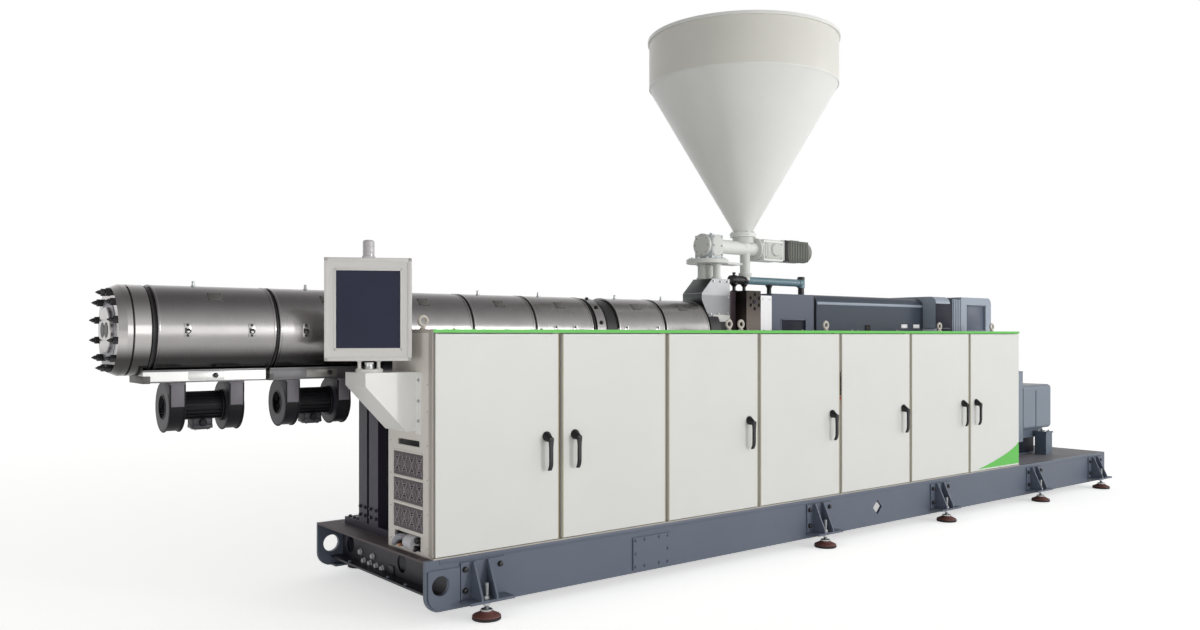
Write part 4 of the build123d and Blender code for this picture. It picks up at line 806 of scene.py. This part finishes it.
gear = [box((3285, 3486), (-81, -70), (2092, 2220), 4), box((3310, 3340), (-84, -78), (2100, 2212), 3),
        box((3290, 3482), (-60, 60), (2228, 2243), 5)]
cap = [(0, 0), (52, 0), (52, 5), (44, 12), (20, 14), (0, 14)]
gear.append(lathe(cap, at(GEAR_X, -80, METER_Z), OUT))
settle(gear, "metering_gearbox_covers", gear_white)
bolts("metering_gearbox_bolts", zinc, (11, 5, 14),
      [(x, -81, z) for x in (3296, 3475) for z in (2102, 2210)]
      + [(GEAR_X + 42 * math.cos(turn), -86, METER_Z + 42 * math.sin(turn)) for turn in circle(6)])
shell = [box((3546, 3800), (-70, 70), (METER_Z - 72, METER_Z + 72), 18, 4)]
shell += [box((x, x + 8), (-79, 79), (METER_Z - 81, METER_Z + 81)) for x in range(3572, 3796, 20)]
shell.append(level([(0, 0), (80, 0), (83, 3), (83, 38), (78, 46), (60, 48), (0, 48)], 3800, METER_Z, 48))
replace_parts(settle(shell, "metering_motor_body", motor_grey), "metering_motor")
seal = box((3512, 3556), (-80, 80), (METER_Z - 82, METER_Z + 82), 5)
settle(seal, "metering_motor_seal", rubber)
flange = box((3497, 3518), (-77, 77), (METER_Z - 79, METER_Z + 79), 4)
settle(flange, "metering_motor_flange", gear_white)
junction = [box((3630, 3730), (-46, 46), (2244, 2256), 5), box((3622, 3738), (-52, 52), (2238, 2247), 3)]
settle(junction, "metering_motor_box", motor_grey)


# The hopper
# A rolled sheet drum on a spun cone, sprayed inside and out. The drum is a warmer shade than the
# cone, a weld band joins them, and the rim is rolled over a wire.
hopper_axis = at(HOPPER_X, 0, 0)
drum_cream = coat("beige powder coat on rolled sheet", "#E2E0D8", 0.34, mottle=0.03)
cone_cream = coat("warm white powder coat on spun sheet", "#ECEDE9", 0.3, mottle=0.03)
give(cone_cream, "hopper_shell")


def applied(piece, kind, **settings):
    """Adds a modifier to a piece and applies it."""
    only(piece)
    made = piece.modifiers.new("shape", kind)
    for key, value in settings.items():
        setattr(made, key, value)
    bpy.ops.object.modifier_apply(modifier="shape")
    return piece


skin = lathe([(717.4, 3396), (717.8, 3400), (717.8, 3728), (717.4, 3731)], hopper_axis, steps=160)
settle(applied(skin, "SOLIDIFY", thickness=0.0006, offset=1), "hopper_drum_skin", drum_cream)
bead = lathe(wire(716, 3744, 13, 12, 12), hopper_axis, steps=160)
settle(bead, "hopper_rolled_rim", drum_cream)
weld = [(716.5, 3387), (718.6, 3391), (718.8, 3395), (718, 3399), (716.5, 3400)]
settle(lathe(weld, hopper_axis, steps=160), "hopper_weld_band", cone_cream)
flange = lathe([(66, 2262), (99, 2262), (101, 2264), (101, 2278), (99, 2280), (70, 2281), (66, 2290)],
               hopper_axis, steps=56)
settle(flange, "hopper_counter_flange", cone_cream)
bolts("hopper_flange_bolts", zinc, (15, 8, 20),
      [(HOPPER_X + 87 * math.cos(turn), 87 * math.sin(turn), 2280) for turn in circle(8, 20)], UP)
clamp = lathe([(38.6, 0), (48, 0), (50, 3), (50, 23), (48, 26), (38.6, 26)], at(3143, 0, 1951), steps=36)
settle(clamp, "hopper_post_collar", feed_white)


# The lower motor
# A sheet-cased motor on a slide base with dark skirts, with a ring to lift it by, vents in its
# end, and the belt guard's sides at its other end.
IN = (0, 1, 0)
EYE = (6870, -185)
motor_blue = coat("light blue-grey enamel on sheet steel", "#76828F", 0.36, mottle=0.05)
give(motor_blue, "lower_motor")
give(coat("blue-grey enamel on a slide base", "#5E6977", 0.4), "lower_motor_stand")
skirts = [box((6654, 7035), y, (345, 498), 1) for y in ((-274, -270), (-52, -48))]
settle(skirts, "slide_base_skirts", night_blue)
vents = [box((7148, 7156), (y, y + 12), (700, 900)) for y in range(-300, -80, 22)]
settle(vents, "lower_motor_vents", night_blue)
bolts("slide_base_bolts", zinc, (22, 10, 30),
      [(x, y, 552) for x in (6700, 6850, 7000) for y in (-262, -60)]
      + [(x, y, 559) for x in (6935, 7015) for y in (-435, -370)], UP)
eye = [lathe(wire(17, 0, 6, 6, 8), at(*EYE, 1042), IN, 36),
       lathe([(0, 0), (20, 0), (20, 4), (10, 8), (7, 16), (0, 16)], at(*EYE, 1014), steps=24)]
settle(eye, "lower_motor_eye", zinc)
guards = [box((6456, 6590), (y - 3, y + 3), (500, 1140)) for y in (-395, -20)]
settle(guards, "belt_guard_sides", motor_blue)


# The cabinets
# A beige welded frame with cream sheet, a green strip along the roof, blank panels on the back,
# and welded rings to lift it by.
ROOF_Z = 1532
DOOR_Z0, DOOR_Z1 = 345, 1507
CABINET_BACK = -232
BAYS = (72, 869, 1692, 2537, 3416.5, 4300, 5154.5, 5973)
beige = coat("beige powder coat on a folded frame", "#BDB7AE", 0.45, mottle=0.05)
# The frame's beige, darkened for the posts and the door edges seen in the gaps: painted shade.
gap_shade_beige = coat("shaded beige powder coat", "#B0A88F", 0.5, mottle=0.05)
green = coat("bright green powder coat", "#5CC04A", 0.4, mottle=0.03)
# The end sheet's cream is lighter than the doors' to make up for the dimmer light on that side: painted
# light.
lit_end_cream = coat("cream powder coat on the end sheet", "#E6E1DA", 0.45, mottle=0.02)
pale_beige = coat("pale beige powder coat on cast rings", "#D6D1C6", 0.4, mottle=0.05)
give(beige, "cabinet_floor", "cabinet_roof")
give(gap_shade_beige, "cabinet_posts")
give(cream, "cabinet_back", "cabinet_end_right")
give(lit_end_cream, "cabinet_end_left")
give(green, "cabinet_strip")
bays = list(zip(BAYS, BAYS[1:]))
backs = [box((x0 + 5, x1 - 5), (CABINET_BACK - 0.5, CABINET_BACK + 2.4), (346, 1506), 1) for x0, x1 in bays]
settle(backs, "cabinet_back_panels", cream)
lock = lathe([(0, 0), (11, 0), (11, 1.2), (7, 1.8), (0, 1.8)], steps=20)
places = [(x, CABINET_BACK + 2.3, z) for x0, x1 in bays for x in (x0 + 40, x1 - 40)
          for z in (400, 930, 1460) if not 100 < x < 340]
settle(spread(lock, places, IN), "back_panel_locks", zinc)
ring = [lathe(wire(24.5, 0, 9, 9, 12), Vector((0, 0, 0.044)), IN),
        lathe([(0, 0), (20, 0), (20, 3), (14, 8), (11, 20), (0, 20)], steps=24)]
moves = [to(x, -461, ROOF_Z) for x in (115, 2483, 2603, 3537.5, 5067.5, 5915)]
rings = settle(copies(joined(ring), moves), "lifting_rings", pale_beige)
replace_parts(rings, "lifting_eyes")
bolts("roof_screws", beige, (13, 5, 18),
      [(x, y, ROOF_Z) for x in range(200, 5900, 570) for y in (-640, -275)], UP)
settle(box((2535, 2539), (-685, CABINET_BACK), (1531, 1534), 1), "roof_seam", beige)


# The end panel
# Three rows of compact axial fans behind cross-shaped guards, a slot with louvres, and a cut-out
# where a grey hose and plugs come through.
FAN_Y0 = -578
FAN_PITCH = 83
fan_grey = coat("brown-grey moulded nylon", "#4F484C", 0.5, peel=1.5)
guard_nylon = coat("grey-brown moulded guard", "#9A9195", 0.5)
give(fan_grey, "fan_units")
guards, blades = [], []
for z0, z1 in ((738, 866), (595, 722), (452, 578)):
    for column in range(4):
        y = FAN_Y0 + (column + 0.5) * FAN_PITCH
        z = (z0 + z1) / 2
        for radius in (14, 25, 37):
            bar = [(radius - 1.6, -1.6), (radius + 1.6, -1.6), (radius + 1.6, 1.6), (radius - 1.6, 1.6),
                   (radius - 1.6, -1.6)]
            guards.append(level(bar, 52, z, 32, y))
        for turn in (-33, 33):
            spoke = drawn((-1.75, 1.75), (-3, 3), (-60, 60))
            spoke.data.transform(to(51.2, y, z) @ turned(turn, "X"))
            guards.append(spoke)
        moves = [to(60, y, z) @ turned(math.degrees(turn), "X") @ turned(38, "Z") for turn in circle(7)]
        blades.append(copies(drawn((-1, 1), (-7, 7), (12, 37), 0.6), moves))
settle(guards, "fan_guards", guard_nylon)
settle(blades, "fan_blades", rubber)
corner_post = [box((46, 50), (-689, -668), (345, 1530), 1), box((47, 50), (-664, -642), (345, 1530), 1)]
settle(corner_post, "end_corner_post", beige)
strips = [box((46.5, 50), (-576, -250), (z - 4.5, z + 4.5), 1) for z in (730.5, 587, 872)]
settle(strips, "fan_row_strips", lit_end_cream)
louvres = [box((52, 68), (-540, -300), (z, z + 3), 1) for z in (908, 915, 922, 929)]
settle(louvres + [box((64, 69), (-541, -299), (905, 939), 1)], "slot_louvres", blackened)
bolts("end_panel_screws", zinc, (8, 3),
      [(50, y, z) for y in (-627, -215) for z in (380, 560, 740, 920, 1100, 1240)], TO_HEAD)
settle(box((66, 69), (-552, -263), (353, 431), 1), "cut_out_back", blackened)
points = [(66, -285, 375), (44, -285, 372), (26, -300, 366), (20, -330, 392), (22, -362, 412),
          (40, -380, 410), (66, -385, 405)]
curve = bpy.data.curves.new("hose", "CURVE")
curve.dimensions = "3D"
curve.bevel_depth = 0.017
curve.bevel_resolution = 4
line = curve.splines.new("NURBS")
line.points.add(len(points) - 1)
for point, place in zip(line.points, points):
    point.co = (*at(*place), 1)
line.order_u = 3
line.use_endpoint_u = True
hose = bpy.data.objects.new("hose", curve)
bpy.context.collection.objects.link(hose)
only(hose)
bpy.ops.object.convert(target="MESH")
hose_grey = coat("grey PVC hose", "#9C9EA6", 0.4, peel=3)
settle(bpy.context.object, "cut_out_hose", hose_grey)
glands = [level([(0, -22), (15, -22), (17, -18), (17, -6), (13, -4), (13, 8), (0, 8)], 54, z, 24, y)
          for y, z in ((-530, 412), (-505, 366), (-310, 418))]
settle(glands, "cut_out_glands", blackened)
can = lathe([(0, 0), (34, 0), (38, 5), (38, 80), (34, 88), (20, 90), (20, 104), (0, 104)], at(44, -510, 392),
            IN, 32)
settle(can, "cut_out_filter_can", pale_plastic)
lens = level([(0, -14), (5, -13), (8, -9), (8, 2), (0, 2)], 36, 364, 20, -352)
settle(lens, "cut_out_lamp", coat("orange signal plastic", "#DE8B57", 0.35))


# The doors
# Folded 3 mm pans sprayed cream. The edge is rolled, foam lines the inside rim, two hat rails
# stiffen the sheet, and a flat lock rod runs up the free side.
EDGES = (50, 869, 1692, 2537, 3416.5, 4300, 5154.5, 5975)
HINGES = ("left", "right", "left", "left", "left", "left", "right")
GAP = 24
SEAL_IN = 26
SEAL_Y = (-687, -668)
foam = coat("black foam seal", "#252426", 0.8, peel=2.5, depth=0.4)
for index, side in enumerate(HINGES):
    body = f"door_{index + 1}"
    x0, x1 = EDGES[index] + GAP / 2, EDGES[index + 1] - GAP / 2
    give(cream, body)
    rim = [box((x0 - 0.6, x1 + 0.6), (-690.8, -688), (z - 0.6, z + 3.5), 1.3)
           for z in (DOOR_Z0, DOOR_Z1 - 3.5)]
    settle(rim, f"{body}_rolled_edge", cream, body)
    # The door edges beside the gaps get the darkened beige: painted shade that makes the gaps read wider.
    lips = [box((x - 0.6, x + 7.6), (-691, -688), (DOOR_Z0, DOOR_Z1), 1.4) for x in (x0, x1 - 7)
            if EDGES[0] + 20 < x < EDGES[7] - 30]
    settle(lips, f"{body}_shaded_side_lips", gap_shade_beige, body)
    seal = [box((x0 + SEAL_IN, x1 - SEAL_IN), SEAL_Y, (z, z + 8), 3) for z in (372, 1472)]
    seal += [box((x, x + 8), SEAL_Y, (372, 1480), 3) for x in (x0 + SEAL_IN, x1 - SEAL_IN - 8)]
    settle(seal, f"{body}_seal", foam, body)
    free = x1 - 60 if side == "left" else x0 + 40
    rails = [box((x0 + 50, x1 - 50), (-687, -672), (z, z + 40), 3) for z in (620, 1240)]
    rails.append(box((free, free + 20), (-671.5, -668.5), (400, 1450), 1))
    settle(rails, f"{body}_stiffeners", zinc, body)


# The corner of the last door
# A green film with a hollow curved edge, laid on the paint at the lower right corner. It is plain
# and thin, and it turns with the door.
corner = [(5286, 357.5), (5400, 376), (5520, 402), (5644, 431), (5740, 456), (5830, 484), (5910, 516),
          (5961.5, 545), (5961.5, 357.5)]
film = sketch([at(x, -690.9, z) for x, z in corner], [], [tuple(range(len(corner)))])
edit(film)
bpy.ops.mesh.extrude_region_move(TRANSFORM_OT_translate={"value": (0, -0.0003, 0)})
bpy.ops.mesh.select_all(action="SELECT")
bpy.ops.mesh.normals_make_consistent(inside=False)
close()
settle(film, "door_7_green_corner", green, "door_7")


# The handles
# Black glass-filled nylon swing handles: a hub that slants down from the door to a slim lever,
# with a key cap on its end and a toe that hooks back to the sheet.
HANDLE_Z = 930
DOOR_FACE = -690
HUB_IN = 100
SLANT = 0.42
LEVER = 0.186
nylon = coat("black glass-filled nylon", "#161418", 0.4, peel=0.9, mottle=0.08, shine=0.35)
for index, side in enumerate(HINGES):
    body = f"handle_{index + 1}"
    x = EDGES[index + 1] - HUB_IN if side == "left" else EDGES[index] + HUB_IN
    place = at(x, DOOR_FACE, HANDLE_Z)
    hub = lathe([(0, -8), (7.5, -8), (7.5, 0.3), (27, 0.3), (28.5, 2), (28.5, 7), (26, 13), (22, 26),
                 (18, 38), (15, 48), (10, 52), (0, 53)], place, OUT)
    for vertex in hub.data.vertices:
        vertex.co.z -= max(0, place.y - 0.006 - vertex.co.y) * SLANT
    deselect()
    bpy.ops.mesh.primitive_cube_add(size=1, location=at(x, -735, HANDLE_Z - 97))
    lever = bpy.context.object
    lever.scale = (0.021, 0.014, LEVER)
    place_applied()
    edit(lever)
    bpy.ops.mesh.subdivide(number_cuts=9)
    close()
    top = place.z - 0.004
    for vertex in lever.data.vertices:
        down = min(1, max(0, (top - vertex.co.z) / LEVER))
        head = math.exp(-((down - 0.06) / 0.12) ** 2)
        vertex.co.x = place.x + (vertex.co.x - place.x) * (1 + 0.5 * head)
        vertex.co.y += 0.016 * max(0, down - 0.86) / 0.14
    applied(lever, "SUBSURF", levels=1, render_levels=1)
    handle = settle([hub, lever], f"swing_{body}", nylon, body, 40)
    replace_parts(handle, body)
    cap = [(0, 40), (7, 40), (7, 55), (5, 55.8), (0, 55.8)]
    cap = lathe(cap, at(x, DOOR_FACE, HANDLE_Z - 18), OUT, 24)
    settle(cap, f"{body}_key_cap", blackened, body)


# The interlock
# A slim safety switch with a red lamp, screwed to the post between the fourth and fifth doors.
switch = [box((3413, 3424), (-689, -660), (1061, 1230)), box((3414, 3423), (-691, -684), (1090, 1200))]
settle(switch, "door_interlock", nylon)
red = coat("red signal plastic", "#C5382E", 0.35)
red_lens = lathe([(0, 0), (4, 0), (4, 2), (2.5, 3.5), (0, 3.5)], at(3418.5, -687, 1039), OUT, 16)
settle([red_lens, box((3413, 3424), (-688, -660), (1030, 1048))], "interlock_lamp", red)


# The console arm
# A folded cream bracket that tapers to its tip, with a bolted flange on the cabinet's end and a
# swivel spigot on its top.
PIVOT = (-182, -426)
# The arm's cream is lighter than the doors' to make up for the panel's shade on it: painted light.
give(coat("cream enamel lightened as painted light on folded plate", "#F1F0ED", 0.42, mottle=0.02), "console_arm")
bolts("arm_flange_bolts", zinc, (15, 6, 20),
      [(44, -543, z) for z in (1262, 1151, 1046)], TO_HEAD)
spigot = lathe([(0, 0), (26, 0), (26, 6), (23.5, 9), (23.5, 20), (0, 20)], at(*PIVOT, 1326), steps=32)
settle(spigot, "swivel_spigot_cap", zinc)


# The operator panel
# A cream die-cast frame round a blue-grey touch glass, on two turned legs and a swivel plate,
# with a signal beacon on its top.
TURN = to(*PIVOT, 0) @ turned(-30, "Z")
FRONT = -68
bezel_cream = coat("cream enamel on die-cast aluminium", "#DAD8D4", 0.38, mottle=0.03)
glass, tree = material("anti-glare touch glass")
tint = node(tree, "Mix", COLOURS, i0=grain(tree, 260), i6=paint("#26283B"), i7=paint("#303247"))
shader = node(tree, "BsdfPrincipled", Base_Color=tint.outputs[2], Roughness=0.24, Specular_IOR_Level=0.25)
node(tree, "OutputMaterial", Surface=shader)
beacon_glass, tree = material("smoked polycarbonate")
haze = node(tree, "MapRange", Value=grain(tree, 12), To_Min=0.2, To_Max=0.32)
shader = node(tree, "BsdfPrincipled", Base_Color=paint("#BDB9BC"), Roughness=haze, Coat_Weight=0.4)
node(tree, "OutputMaterial", Surface=shader)
give(bezel_cream, "panel_housing")
give(glass, "panel_screen")
give(beacon_glass, "panel_beacon")


def on_panel(pieces, name, finish):
    """Moves pieces that were drawn about the swivel's axis to the panel, as one piece that rides it."""
    piece = joined(pieces)
    piece.data.transform(TURN)
    return settle(piece, name, finish, "panel")


bars = surround((-221, 221), (FRONT - 4, FRONT + 4), (1366, 1900), 20, 20, 3, drawn)
bars += surround((-172, 172), (FRONT - 3, FRONT + 4), (1421, 1845), 10, 12, 2.5, drawn)
on_panel(bars, "panel_bezel", bezel_cream)
ribs = [drawn((-150, 150), (-6, -2), (z, z + 6), 1.5) for z in range(1480, 1800, 24)]
on_panel(ribs, "panel_back_ribs", bezel_cream)
collars = [lathe([(9.2, 0), (14, 0), (14, 5), (12, 7), (9.2, 7)], Vector((x, -17, z)) / 1000, steps=24)
           for x in (-49, 49) for z in (1322, 1360)]
on_panel(collars, "panel_leg_collars", bezel_cream)
rings = [(0, 0), (33, 0), (34, 3), (34, 10), (30, 13)]
for low in (30, 60):
    rings += [(30, low), (31, low + 1), (31, low + 3), (30, low + 4)]
rings += [(30, 86), (26, 92), (16, 95), (0, 96)]
beacon = on_panel([lathe(rings, Vector((0, -0.037, 1.899)))], "beacon_lenses", beacon_glass)
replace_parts(beacon, "panel_beacon")
